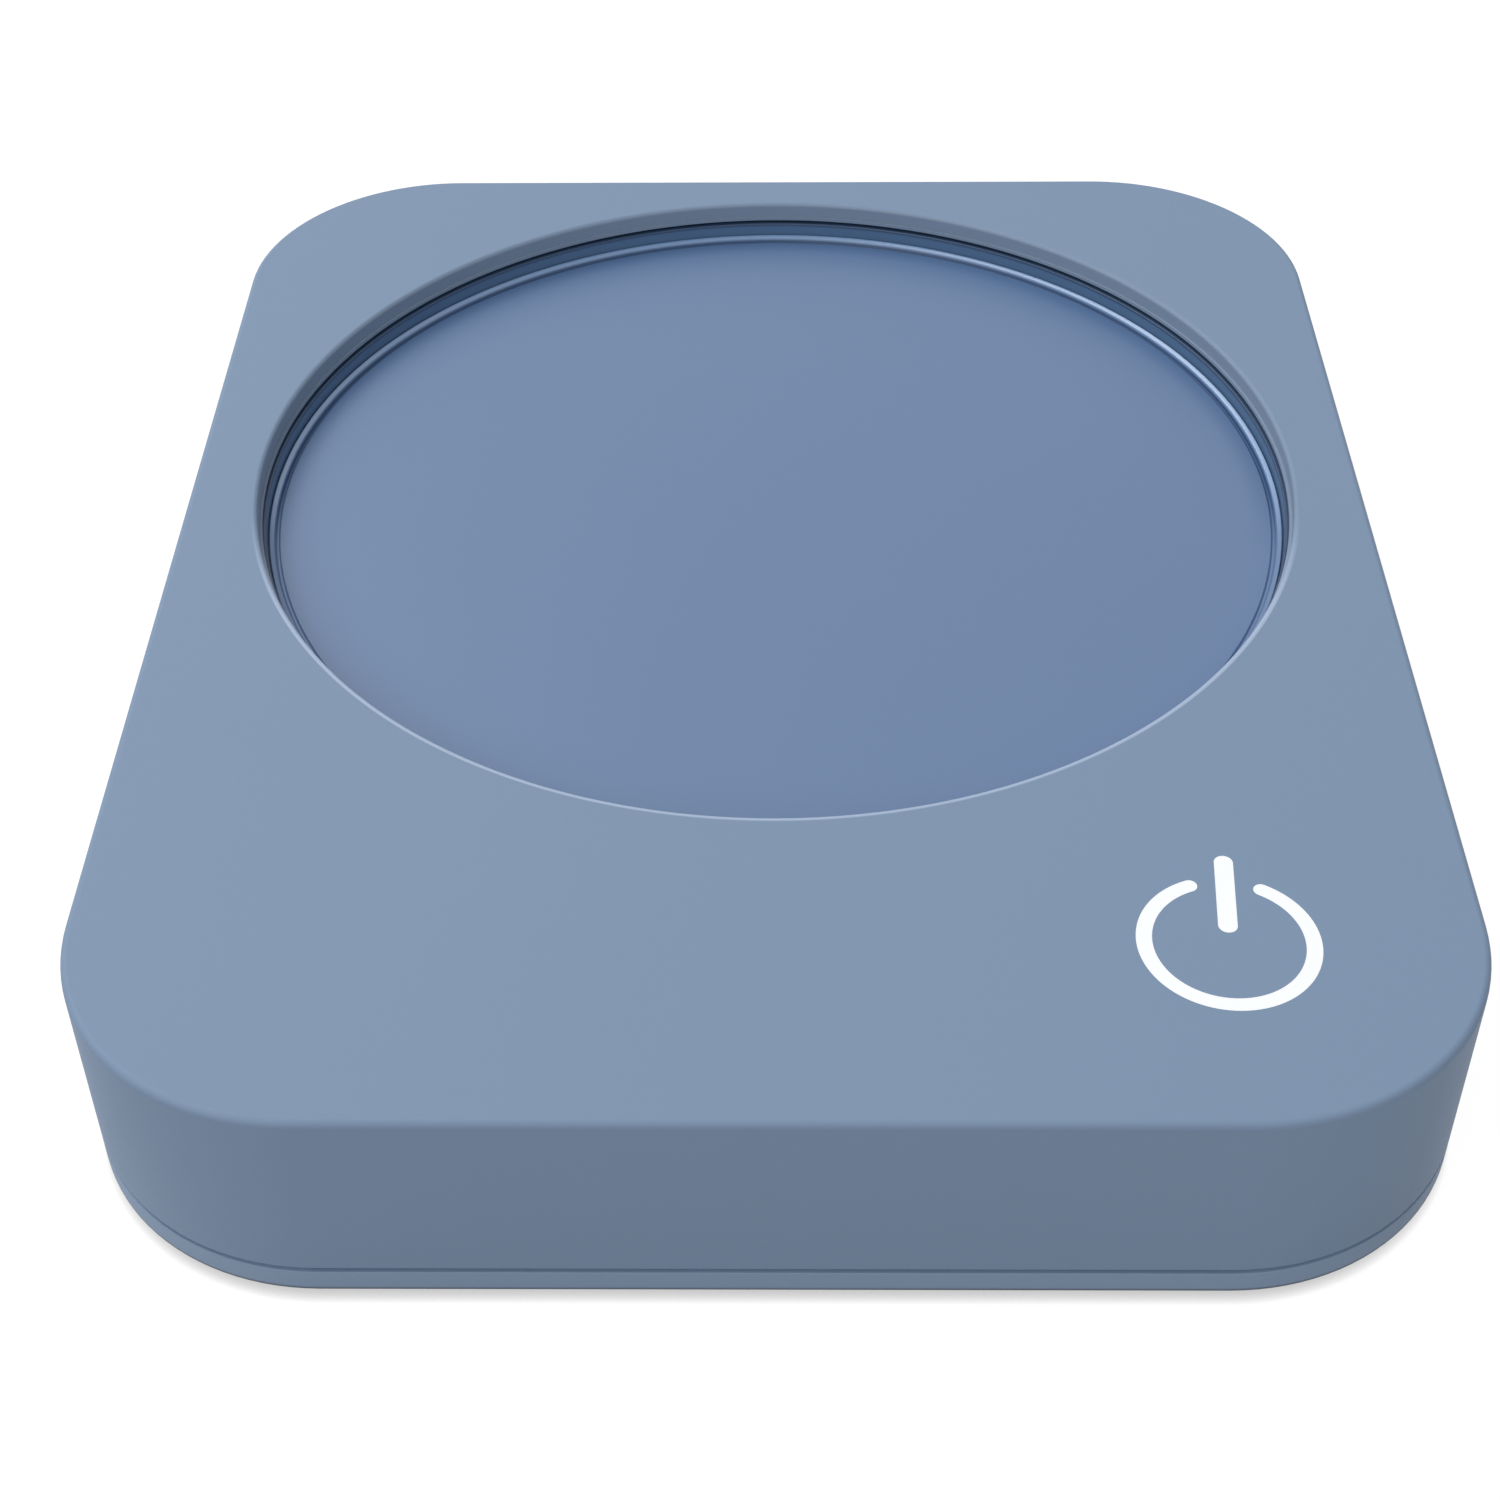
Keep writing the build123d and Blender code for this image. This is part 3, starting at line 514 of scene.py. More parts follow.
for name, margin, depth in (
    ("inlet_recess", inlet_recess_margin, inlet_recess_depth),
    ("inlet_window", inlet_window_gap, 2 * wall),
):
    width = inlet_width + 2 * margin
    height = inlet_height + 2 * margin
    combine(top_cover, slot_solid(name, width, height, back_y - depth, back_y + clear), "DIFFERENCE")
print("inlet window cut,", len(top_cover.data.polygons), "faces")

# %% [markdown]
# Under the deck stand the four bosses that the screws bite into, and two stakes
# for the light guide.  They reach a little into the deck, so that the boolean has
# a clean overlap to work with.

# %% Top cover: bosses and stakes
foot_radius = 5.0 * mm
screw_x = feet_high.x - foot_radius
screw_y = feet_high.y - foot_radius
screw_points = [(x, y) for x in (-screw_x, screw_x) for y in (-screw_y, screw_y)]
cover_boss_radius = 3.2 * mm
base_boss_height = 2.6 * mm
floor_thickness = 2.0 * mm
floor_z = base_z + floor_thickness
boss_z = floor_z + base_boss_height
stake_radius = 0.75 * mm
stake_reach = 10.0 * mm
sunk = 0.4 * mm
buried_z = deck_under_z + sunk

stakes = [(symbol_x - stake_reach, symbol_y), (symbol_x, symbol_y - stake_reach)]
columns = [(x, y, cover_boss_radius, boss_z, buried_z) for x, y in screw_points]
columns += [(x, y, stake_radius, guide_under_z, buried_z) for x, y in stakes]
combine(top_cover, tool_shape("cover_bosses", columns), "UNION")
print("bosses and stakes joined,", len(top_cover.data.polygons), "faces")

# %% [markdown]
# Two gussets tie each boss to the walls beside it, and end in the middle of the
# wall, where its corner is round.  Three ribs stiffen the apron in front of the
# well, and each boss gets its bore for the screw.

# %% Top cover: gussets, ribs and bores
rib_thickness = 1.2 * mm
rib_height = 1.6 * mm
apron_rib_pitch = 19.0 * mm
apron_rib_clearance = 6.0 * mm
cover_bore_radius = 1.2 * mm
cover_bore_depth = 9.0 * mm

bury_radius = corner_radius - wall / 2
gusset_x = corner_x + sqrt(bury_radius**2 - (screw_y - corner_y) ** 2) - screw_x
gusset_y = corner_y + sqrt(bury_radius**2 - (screw_x - corner_x) ** 2) - screw_y
gusset_z = boss_z + rib_height
apron_front_y = wall / 2 - body_depth / 2
apron_back_y = ring_front_y - apron_rib_clearance
apron_y = (apron_front_y + apron_back_y) / 2
rib_length = apron_back_y - apron_front_y
rib_z = deck_under_z - rib_height
sideways = [
    (x + (gusset_x if x > 0 else -gusset_x) / 2, y, gusset_x, rib_thickness, gusset_z, buried_z)
    for x, y in screw_points
]
lengthways = [
    (x, y + (gusset_y if y > 0 else -gusset_y) / 2, rib_thickness, gusset_y, gusset_z, buried_z)
    for x, y in screw_points
]
ribs = [
    (rib * apron_rib_pitch, apron_y, rib_thickness, rib_length, rib_z, buried_z)
    for rib in (-1, 0, 1)
]
for group in (sideways, lengthways, ribs):
    combine(top_cover, tool_shape("cover_ribs", blocks=group), "UNION")
bores = [(x, y, cover_bore_radius, boss_z - clear, boss_z + cover_bore_depth) for x, y in screw_points]
combine(top_cover, tool_shape("cover_bores", bores), "DIFFERENCE")
hand_over(top_cover, "housing", "housing", "top_cover")

# %% [markdown]
# ## The base cover
# The lower half shows only as a narrow band under the seam, but it closes the
# box from below.  It is pulled up from the same outline.  A shallow step all
# round its top face makes the lower half of the groove, the next inset is pulled
# up into the lip that centres the two halves, and the last one is pushed down to
# the floor.

# %% Base cover: band, lip and floor
base_edge_radius = 0.4 * mm
base_edge_segments = 6
moulding_gap = 0.15 * mm
lip_height = 2.0 * mm
lip_thickness = 1.2 * mm
lip_edge_radius = 0.2 * mm

shoulder_z = seam_z - seam_drop
base_cover = outline_face("base_cover_shell", base_z)
extrude(z=shoulder_z - base_z)
face_outwards()
pick("EDGE", lambda point: near(point.z, base_z))
round_edges(base_edge_radius, base_edge_segments)
pick("FACE", lambda point, normal: near(point.z, shoulder_z) and normal.z > square_on)
inset(seam_depth)
extrude(z=seam_drop)
inset(wall + moulding_gap - seam_depth)
extrude(z=lip_height)
inset(lip_thickness)
extrude(z=floor_z - seam_z - lip_height)
pick("EDGE", lambda point: near(point.z, shoulder_z) and on_outline(point))
round_edges(seam_edge_radius, small_edge_segments)
pick("EDGE", lambda point: near(point.z, seam_z + lip_height) and on_outline(point, wall + moulding_gap))
round_edges(lip_edge_radius, small_edge_segments)
leave_edit(base_cover)
print("band and floor of the base cover:", len(base_cover.data.polygons), "faces")

# %% [markdown]
# The floor carries the guide posts on their raised spring seats, the standoffs
# of both boards, two stiffening ribs and the four screw bosses.

# %% Base cover: seats, posts, standoffs and bosses
guide_inset = 15.0 * mm
guide_circle = well_radius - guide_inset
guide_angles = [radians(angle) for angle in (30, 150, 270)]
guide_points = [(guide_circle * cos(angle), well_y + guide_circle * sin(angle)) for angle in guide_angles]
post_radius = 1.9 * mm
spring_seat_radius = 5.0 * mm
spring_seat_z = floor_z + 0.8 * mm
post_clearance = 0.9 * mm
post_top_z = carrier_z - post_clearance
standoff_radius = 2.6 * mm
side_rib_length = 64.0 * mm
base_boss_radius = 3.9 * mm

board_hole_inset = 3.8 * mm
board_holes = [
    (x, y)
    for x in (board_low.x + board_hole_inset, board_high.x - board_hole_inset)
    for y in (board_low.y + board_hole_inset, board_high.y - board_hole_inset)
]
inlet_hole_inset = 2.8 * mm
inlet_holes = [
    (inlet_board_low.x + inlet_hole_inset, inlet_board_low.y + inlet_hole_inset),
    (inlet_board_high.x - inlet_hole_inset, inlet_board_low.y + inlet_hole_inset),
]

root_z = floor_z - sunk
seats = [(x, y, spring_seat_radius, root_z, spring_seat_z) for x, y in guide_points]
standoffs = [(x, y, standoff_radius, root_z, board_low.z) for x, y in board_holes]
standoffs += [(x, y, standoff_radius, root_z, inlet_board_low.z) for x, y in inlet_holes]
bosses = [(x, y, base_boss_radius, root_z, boss_z) for x, y in screw_points]
rib_x = guide_circle + spring_seat_radius
ribs = [
    (side * rib_x, well_y, rib_thickness, side_rib_length, root_z, floor_z + rib_height)
    for side in (-1, 1)
]
posts = [(x, y, post_radius, root_z, post_top_z) for x, y in guide_points]
combine(base_cover, tool_shape("base_seats", seats + standoffs + bosses), "UNION")
combine(base_cover, tool_shape("base_posts", posts), "UNION")
combine(base_cover, tool_shape("base_ribs", blocks=ribs), "UNION")
print("seats, posts and bosses joined,", len(base_cover.data.polygons), "faces")

# %% [markdown]
# From below come a pocket for each foot, the seat of each screw head above it,
# the screw holes and the vents.  The standoffs get their small bores from above.

# %% Base cover: pockets, holes and vents
small_bore_radius = 1.0 * mm
small_screw_length = 3.6 * mm
foot_pocket_radius = 5.15 * mm
foot_seat_z = feet_high.z
head_recess_radius = 2.35 * mm
head_recess_depth = 1.5 * mm
head_seat_z = foot_seat_z + head_recess_depth
screw_hole_radius = 1.25 * mm
vent_count = 7
vent_pitch = 4.5 * mm
vent_width = 1.5 * mm
vent_length = 16.0 * mm

pockets = [(x, y, foot_pocket_radius, base_z - clear, foot_seat_z) for x, y in screw_points]
recesses = [(x, y, head_recess_radius, base_z - clear, head_seat_z) for x, y in screw_points]
holes = [(x, y, screw_hole_radius, base_z - clear, boss_z + clear) for x, y in screw_points]
for points, board_top_z in ((board_holes, board_high.z), (inlet_holes, inlet_board_high.z)):
    bore_end_z = board_top_z - small_screw_length
    holes += [(x, y, small_bore_radius, bore_end_z, board_top_z) for x, y in points]
vents = []
for vent in range(vent_count):
    vent_x = (vent - (vent_count - 1) / 2) * vent_pitch
    vents.append((vent_x, well_y, vent_width, vent_length, base_z - clear, floor_z + clear))
for cutter in (
    tool_shape("foot_pockets", pockets),
    tool_shape("head_recesses", recesses),
    tool_shape("screw_holes", holes),
    tool_shape("vents", blocks=vents),
):
    combine(base_cover, cutter, "DIFFERENCE")
hand_over(base_cover, "housing", "housing", "base_cover")

# %% [markdown]
# ## The floating tray
# The ring fills the gap between the well and the plate.  It is turned in one
# go: a crown just under the deck, and a skirt that goes down to the carrier.

# %% Tray ring
tray_gap = 0.5 * mm
ring_overlap = 1.5 * mm
tray_gap_radius = well_radius - tray_gap
ring_outer_radius = well_radius + ring_overlap
ring_skirt = 1.1 * mm
skirt_radius = ring_outer_radius - ring_skirt
ring_edge_radius = 0.12 * mm
ring_clearance = 0.3 * mm
ring_top_z = deck_under_z - ring_clearance
bead_height = 0.45 * mm
plate_z = plate_high.z - bead_height

tray_ring = turn("tray_ring_moulding", [
    (tray_gap_radius, plate_z, 0),
    (tray_gap_radius, ring_top_z, ring_edge_radius),
    (ring_outer_radius, ring_top_z, ring_edge_radius),
    (ring_outer_radius, carrier_z, 0),
    (skirt_radius, carrier_z, 0),
    (skirt_radius, plate_z, 0),
    (tray_gap_radius, plate_z, 0),
])
print("ring turned,", len(tray_ring.data.polygons), "faces")

# %% [markdown]
# Four ears stand out from the skirt, each on a short web.  They take the tray's
# screws from below, and stop the sprung tray under the deck.

# %% Ears of the ring
ear_radius = 3.0 * mm
ear_bore_depth = 2.5 * mm
ear_circle = ring_outer_radius + ear_radius
ear_angles = [radians(angle) for angle in (45, 135, 225, 315)]
ear_points = [(ear_circle * cos(angle), well_y + ear_circle * sin(angle)) for angle in ear_angles]

ears = [(x, y, ear_radius, carrier_z, deck_under_z) for x, y in ear_points]
web_length = ear_circle - skirt_radius - ring_skirt / 2
web_circle = ear_circle - web_length / 2
webs = [
    (
        web_circle * cos(angle),
        well_y + web_circle * sin(angle),
        web_length,
        2 * ear_radius,
        carrier_z,
        deck_under_z,
        angle,
    )
    for angle in ear_angles
]
combine(tray_ring, tool_shape("tray_webs", blocks=webs), "UNION")
combine(tray_ring, tool_shape("tray_ears", ears), "UNION")
ear_bore = (small_bore_radius, carrier_z - clear, carrier_z + ear_bore_depth)
ear_bores = [(x, y, *ear_bore) for x, y in ear_points]
combine(tray_ring, tool_shape("ear_bores", ear_bores), "DIFFERENCE")
hand_over(tray_ring, "tray", "ring_plastic", "tray_ring")

# %% [markdown]
# The heating plate is a pressed disc with a raised bead just inside the ring.
# The bead is what catches the light, so its section has a steep foot, a gentle
# shoulder that holds the glint, and a small pressed groove beside it that stays
# dark.  On the far half, painted shade darkens the groove, and a painted highlight
# brightens the crest.  A corner of the section says how many millimetres it lies
# inside the edge of the bead, its share of the bead's height, and its rounding.

# %% Heating plate
plate_radius = (plate_high.x - plate_low.x) / 2
bead_gap = 0.1 * mm
groove_near = 0.52 * mm
groove_far = 0.95 * mm
bead_radius = tray_gap_radius - bead_gap
groove_outer_radius = bead_radius - groove_near
groove_inner_radius = bead_radius - groove_far
plate_edge_radius = 0.3 * mm
bead_section = [
    (1.10, 0.00, 0.00),
    (1.00, 0.00, 0.06),
    (0.86, -0.40, 0.06),
    (0.68, -0.40, 0.06),
    (0.47, 0.66, 0.07),
    (0.10, 1.00, 0.05),
    (0.00, 0.50, 0.00),
    (0.00, 0.00, 0.00),
]

section = [
    (bead_radius - inwards * mm, plate_z + share * bead_height, rounding * mm)
    for inwards, share, rounding in bead_section
]
section += [(plate_radius, plate_z, plate_edge_radius), (plate_radius, plate_low.z, 0)]
heating_plate = turn("heating_plate_disc", section)
hand_over(heating_plate, "tray", "plate_coating", "heating_plate")

# %% [markdown]
# ## The light guide
# The white symbol is the top of one clear moulding.  Under the deck its strokes
# grow out of a flange, which two stakes hold by its ears.

# %% Light guide
flange_margin = 1.0 * mm
guide_flange_thickness = 1.0 * mm
stake_fit = 0.05 * mm
flange_sides = 96
guide_flange_radius = symbol_radius + symbol_stroke / 2 + flange_margin
stake_ear_radius = 2.0 * mm
flange_z = guide_under_z + guide_flange_thickness
light_guide = tool_shape(
    "power_symbol_guide",
    [(symbol_x, symbol_y, guide_flange_radius, guide_under_z, flange_z)],
    sides=flange_sides,
)
guide_ears = [(x, y, stake_ear_radius, guide_under_z, flange_z) for x, y in stakes]
combine(light_guide, tool_shape("guide_ears", guide_ears), "UNION")
tab_length = bar_foot + bar_length + flange_margin
bridges = [
    (symbol_x - stake_reach / 2, symbol_y, stake_reach, 2 * stake_ear_radius, guide_under_z, flange_z),
    (symbol_x, symbol_y - stake_reach / 2, 2 * stake_ear_radius, stake_reach, guide_under_z, flange_z),
    (
        symbol_x + tab_length / 2 * cos(symbol_direction),
        symbol_y + tab_length / 2 * sin(symbol_direction),
        tab_length,
        bar_stroke + 2 * flange_margin,
        guide_under_z,
        flange_z,
        symbol_direction,
    ),
]
for bridge in bridges:
    combine(light_guide, tool_shape("guide_bridge", blocks=[bridge]), "UNION")
for stroke in (symbol_ring, symbol_bar):
    combine(light_guide, stroke("guide_stroke", flange_z - sunk, deck_z), "UNION")
hole_radius = stake_radius + stake_fit
stake_holes = [(x, y, hole_radius, guide_under_z - clear, flange_z + clear) for x, y in stakes]
combine(light_guide, tool_shape("stake_holes", stake_holes), "DIFFERENCE")
hand_over(light_guide, "housing", "light_guide", "power_light_guide")

# %% [markdown]
# ## The feet
# Four soft discs sit in the pockets over the screws.  One is turned with a
# rounded sole and a shallow suction dish, and the other three are copies of it,
# each with its own mesh.

# %% Feet
foot_edge_radius = 0.4 * mm
foot_back_radius = 0.1 * mm
foot_back_rim = 1.0 * mm
dish_radius = 3.4 * mm
dish_depth = 0.25 * mm
dish_edge_radius = 0.15 * mm
foot_steps = 64

first_x, first_y = screw_points[0]
feet_set = turn("rubber_feet_set", [
    (dish_radius - dish_depth, feet_low.z + dish_depth, 0),
    (dish_radius, feet_low.z, dish_edge_radius),
    (foot_radius, feet_low.z, foot_edge_radius),
    (foot_radius, feet_high.z, foot_back_radius),
    (foot_radius - foot_back_rim, feet_high.z, 0),
], first_x, first_y, foot_steps)
copies = []
for x, y in screw_points[1:]:
    leave_edit(feet_set)
    bpy.ops.object.duplicate(linked=False)
    bpy.ops.transform.translate(value=(x - first_x, y - first_y, 0))
    copies.append(bpy.context.active_object)
leave_edit(feet_set)
for copy in copies:
    copy.select_set(True)
bpy.ops.object.join()
hand_over(feet_set, "housing", "foot_rubber", "rubber_feet")

# %% [markdown]
# ## The power inlet
# A deep-drawn steel shell holds an insulating tongue with a row of flat
# contacts on each side.  The shell is a slot tube: both ends of a slot solid
# are inset by the thickness of the sheet, the two inner faces are bridged into
# a bore, and the mouth is rounded.

# %% Inlet shell
inlet_sheet = 0.3 * mm
mouth_edge_radius = 0.1 * mm
inlet_shell = slot_solid("inlet_shell_tube", inlet_width, inlet_height, shell_low.y, shell_high.y)
bpy.ops.object.mode_set(mode="EDIT")
for end_y in (shell_low.y, shell_high.y):
    pick("FACE", lambda point, normal: near(point.y, end_y))
    inset(inlet_sheet)
pick(
    "FACE",
    lambda point, normal: abs(normal.y) > square_on and near(point.x, 0) and near(point.z, inlet_z),
)
bpy.ops.mesh.bridge_edge_loops()
pick("FACE", lambda point, normal: near(point.y, shell_high.y))
bpy.ops.mesh.region_to_loop()
round_edges(mouth_edge_radius, small_edge_segments)
hand_over(inlet_shell, "housing", "tinned_metal", "inlet_shell")

# %% [markdown]
# The tongue is a thin blade that stands out of a block, and the block closes the
# shell behind it.  The front of the blade is rounded, so that a plug slides on.

# %% Inlet tongue
tongue_width = 6.7 * mm
tongue_thickness = 0.7 * mm
tongue_length = 4.4 * mm
tongue_edge_radius = 0.12 * mm
stopper_y = tongue_high.y - tongue_length
inlet_tongue = slot_solid(
    "inlet_tongue_block",
    tongue_high.x - tongue_low.x,
    tongue_high.z - tongue_low.z,
    tongue_low.y,
    stopper_y,
)
blade = tool_shape("tongue_blade", blocks=[(
    0,
    stopper_y + tongue_length / 2 - sunk / 2,
    tongue_width,
    tongue_length + sunk,
    inlet_z - tongue_thickness / 2,
    inlet_z + tongue_thickness / 2,
)])
combine(inlet_tongue, blade, "UNION")
bpy.ops.object.mode_set(mode="EDIT")
pick("EDGE", lambda point: near(point.y, tongue_high.y))
round_edges(tongue_edge_radius, small_edge_segments)
hand_over(inlet_tongue, "housing", "black_plastic", "inlet_tongue")

# %% [markdown]
# Twelve flat contacts lie on each face of the blade, half sunk into it.

# %% Contacts
contact_count = 12
contact_pitch = 0.5 * mm
contact_width = 0.28 * mm
contact_length = 3.2 * mm
contact_height = 0.04 * mm
strips = []
for contact in range(contact_count):
    strip_x = (contact - (contact_count - 1) / 2) * contact_pitch
    for face_z in (inlet_z - tongue_thickness / 2, inlet_z + tongue_thickness / 2):
        strips.append((
            strip_x,
            stopper_y + contact_length / 2,
            contact_width,
            contact_length,
            face_z - contact_height,
            face_z + contact_height,
        ))
contacts = tool_shape("inlet_contacts", blocks=strips)
hand_over(contacts, "housing", "copper")

# %% [markdown]
# ## What gives under the tray
# The tray sinks a little under a mug, and its springs shorten and its leads bend
# with it.  A copy of each, with its points merged and its shading smoothed,
# stands for the rigid solid, which is hidden.


def giving_copy(name, node):
    """A copy of a solid with its points merged and its shading smoothed; the solid is hidden."""
    piece = add_object(name, frame["nodes"][node].data.copy())
    leave_edit(piece)
    bpy.ops.object.mode_set(mode="EDIT")
    merge_doubles()
    leave_edit(piece)
    bpy.ops.object.shade_smooth_by_angle(angle=smooth_angle)
    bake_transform(piece)
    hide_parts(node)
    return piece


tray_springs = giving_copy("tray_springs_giving", "return_springs")
heater_leads = giving_copy("heater_leads_giving", "tray_leads")

# %% [markdown]
# ## Finishes
# Every finish is worked out by nodes from the place on the piece.  One small
# class lets a socket take part in Python arithmetic, so that a mask reads like a
# sum and not like a page of links.

# %% Arithmetic on sockets
class Wire:
    """A socket that Python arithmetic can use; each operator adds one Math node."""

    def __init__(self, nodes, socket):
        self.nodes = nodes
        self.socket = socket

    def math(self, operation, first, second):
        return self.nodes.add("ShaderNodeMath", {"operation": operation}, {0: first, 1: second})

    def __add__(self, other):
        return self.math("ADD", self, other)

    def __sub__(self, other):
        return self.math("SUBTRACT", self, other)

    def __rsub__(self, other):
        return self.math("SUBTRACT", other, self)

    def __mul__(self, other):
        return self.math("MULTIPLY", self, other)

    def __pow__(self, other):
        return self.math("POWER", self, other)

    def __rpow__(self, other):
        return self.math("POWER", other, self)

    __radd__ = __add__
    __rmul__ = __mul__


# %% [markdown]
# One method adds any other node: its kind, its settings, then the values or
# links of its sockets.

# %% Node trees
class Nodes:
    """The node tree of a material or a world, with one way to add a node."""

    def __init__(self, owner):
        owner.use_nodes = True
        self.tree = owner.node_tree

    def add(self, kind, settings=None, inputs=None, output=0):
        node = self.tree.nodes.new(kind)
        for name, value in (settings or {}).items():
            setattr(node, name, value)
        self.feed(node, inputs or {})
        return Wire(self, node.outputs[output])

    def feed(self, node, inputs):
        for name, value in inputs.items():
            if isinstance(value, Wire):
                self.tree.links.new(value.socket, node.inputs[name])
            else:
                node.inputs[name].default_value = value

    def looked_at(self):
        """1 for what the camera sees, also in gloss or through glass, and 0 for what only lights."""
        kinds = ("Is Camera Ray", "Is Glossy Ray", "Is Transmission Ray")
        camera, glossy, through = (self.add("ShaderNodeLightPath", output=kind) for kind in kinds)
        return camera + glossy + through


# %% [markdown]
# A finish is a node tree with its shader.  Its patterns all start from the place
# on the piece: soft noise, fades by height or depth, and hoops round the axis of
# the well.

# %% Finishes and their patterns
class Finish(Nodes):
    """A material with its shader, and the patterns that the finishes share."""

    def __init__(self, name, **fixed):
        self.material = bpy.data.materials.new(name)
        super().__init__(self.material)
        self.shader = self.tree.nodes["Principled BSDF"]
        self.place = self.add("ShaderNodeTexCoord", output="Object")
        self.set({name.replace("_", " ").title(): value for name, value in fixed.items()})

    def set(self, inputs):
        self.feed(self.shader, inputs)

    def noise(self, size, detail=2.0):
        """Soft noise from 0 to 1 whose blotches are about this wide."""
        inputs = {"Vector": self.place, "Scale": 1 / size, "Detail": detail}
        return self.add("ShaderNodeTexNoise", {}, inputs)

    def along(self, axis):
        """The place along one axis, named X, Y or Z."""
        return self.add("ShaderNodeSeparateXYZ", {}, {"Vector": self.place}, output=axis)

    def fade(self, value, none, full):
        """Fades smoothly from 0 to 1 as a value goes from one limit to the other."""
        limits = {"Value": value, "From Min": none, "From Max": full}
        return self.add("ShaderNodeMapRange", {"interpolation_type": "SMOOTHSTEP"}, limits)

    def radius(self):
        """The distance from the axis of the well."""
        kind = "ShaderNodeVectorMath"
        offset = self.add(kind, {"operation": "SUBTRACT"}, {0: self.place, 1: (0, well_y, 0)})
        flat = self.add(kind, {"operation": "MULTIPLY"}, {0: offset, 1: (1, 1, 0)})
        return self.add(kind, {"operation": "LENGTH"}, {0: flat}, output="Value")

    def hoop(self, inner, outer):
        """1 between two radii round the axis of the well, and 0 elsewhere."""
        off_middle = self.radius() - (inner + outer) / 2
        away = self.add("ShaderNodeMath", {"operation": "ABSOLUTE"}, {0: off_middle})
        return self.fade(away, (outer - inner) / 2, (outer - inner) / 3)

    def blend(self, factor, low, high):
        """A colour between two others."""
        settings = {"data_type": "RGBA", "blend_type": "MIX"}
        return self.add("ShaderNodeMix", settings, {0: factor, 6: low, 7: high}, output=2)

    def bump(self, height, depth, strength=1.0):
        """Turns a height from 0 to 1 into a surface normal."""
        return self.add("ShaderNodeBump", {}, {"Height": height, "Distance": depth, "Strength": strength})


def rgb(red, green, blue):
    """A colour with its alpha."""
    return (red, green, blue, 1.0)


def shade(colour, factor):
    """The same colour, lighter or darker."""
    return tuple(channel * factor for channel in colour[:3]) + (1.0,)


# %% [markdown]
# Most moulded and metal parts share one recipe: a colour that wanders by a
# percent or two over the piece, a roughness that wanders with a finer noise, and
# a fine grain pressed into the surface.  Only the numbers tell them apart.

# %% The shared recipe
patch_detail = 3.0
roughness_range = 0.10


def grained(
    name, colour, roughness, spread=0.03, drift=12.0 * mm, grain=0.35 * mm, depth=0.002 * mm, **fixed
):
    """A finish with a slowly drifting colour, a patchy roughness and a fine grain."""
    finish = Finish(name, **fixed)
    patches = finish.noise(drift, patch_detail)
    pores = finish.noise(grain)
    finish.roughness = pores * roughness_range + (roughness - roughness_range / 2)
    finish.colour = finish.blend(patches, shade(colour, 1 - spread), shade(colour, 1 + spread))
    finish.set({
        "Base Color": finish.colour,
        "Roughness": finish.roughness,
        "Normal": finish.bump(pores, depth),
    })
    return finish


# %% [markdown]
# ### Plastics and coating
# The housing is a matt slate blue moulding with a fine spark texture.  The front
# half of the well's rim is glossier, with a painted highlight in a lighter colour,
# and the wall of the well has painted light that makes it paler and greyer.

# %% Housing
slate = rgb(0.200, 0.288, 0.426)
# The paler, greyer slate of the painted light on the wall of the well.
well_wall_light_slate = rgb(0.235, 0.312, 0.420)
# A lighter slate for the painted highlight on the front half of the well's rim.
rim_highlight_slate = rgb(0.340, 0.450, 0.640)
moulded = {"spread": 0.012, "drift": 30 * mm, "grain": 0.30 * mm}
matt_roughness = 0.62
coat_roughness = 0.20
front_rim_gloss = 0.3
rim_highlight_start_y = well_y - 6 * mm
rim_highlight_full_y = well_y - 24 * mm
rim_highlight_inner_radius = well_radius - 0.3 * mm
rim_highlight_outer_radius = well_radius + well_edge_radius + 0.2 * mm
well_wall_inner_radius = well_radius - 0.5 * mm
well_wall_outer_radius = well_radius + 0.2 * mm

housing_plastic = grained(
    "housing_plastic", slate, matt_roughness, coat_roughness=coat_roughness, **moulded
)
front = housing_plastic.fade(housing_plastic.along("Y"), rim_highlight_start_y, rim_highlight_full_y)
# The rim mask gives real gloss, through less roughness and a coat, and a painted highlight, through a
# lighter colour.
rim_gloss_and_highlight = front * housing_plastic.hoop(rim_highlight_inner_radius, rim_highlight_outer_radius)
# Painted light: the wall of the well is painted paler and greyer than the deck.
well_wall_painted_light = housing_plastic.hoop(well_wall_inner_radius, well_wall_outer_radius)
walled = housing_plastic.blend(well_wall_painted_light, housing_plastic.colour, well_wall_light_slate)
housing_plastic.set({
    "Base Color": housing_plastic.blend(rim_gloss_and_highlight, walled, rim_highlight_slate),
    "Roughness": housing_plastic.roughness - rim_gloss_and_highlight * front_rim_gloss,
    "Coat Weight": rim_gloss_and_highlight,
})
print("housing plastic:", len(housing_plastic.tree.nodes), "nodes")

# %% [markdown]
# The base cover is painted a shade lighter, which stands in for light from the
# floor, and has a painted shadow along its sole.  The ring is a deeper blue, with
# painted shade almost black along its crown, in the gap under the deck.

# %% Base cover and ring
# A lighter slate of painted light, standing in for light from the floor on the base cover.
base_slate_painted_lighter = rgb(0.243, 0.337, 0.482)
# The colour of the painted shadow along the sole of the base cover.
sole_shade_slate = rgb(0.060, 0.076, 0.112)
deep_slate = rgb(0.100, 0.188, 0.326)
# The colour of the painted shade along the ring's crown, in the gap under the deck.
crown_shade_blue = rgb(0.030, 0.065, 0.135)
ring_roughness = 0.45
sole_start_z = base_z + 0.65 * mm
sole_full_z = base_z + 0.25 * mm
crown_start_z = ring_top_z - 0.40 * mm
crown_full_z = ring_top_z - 0.05 * mm

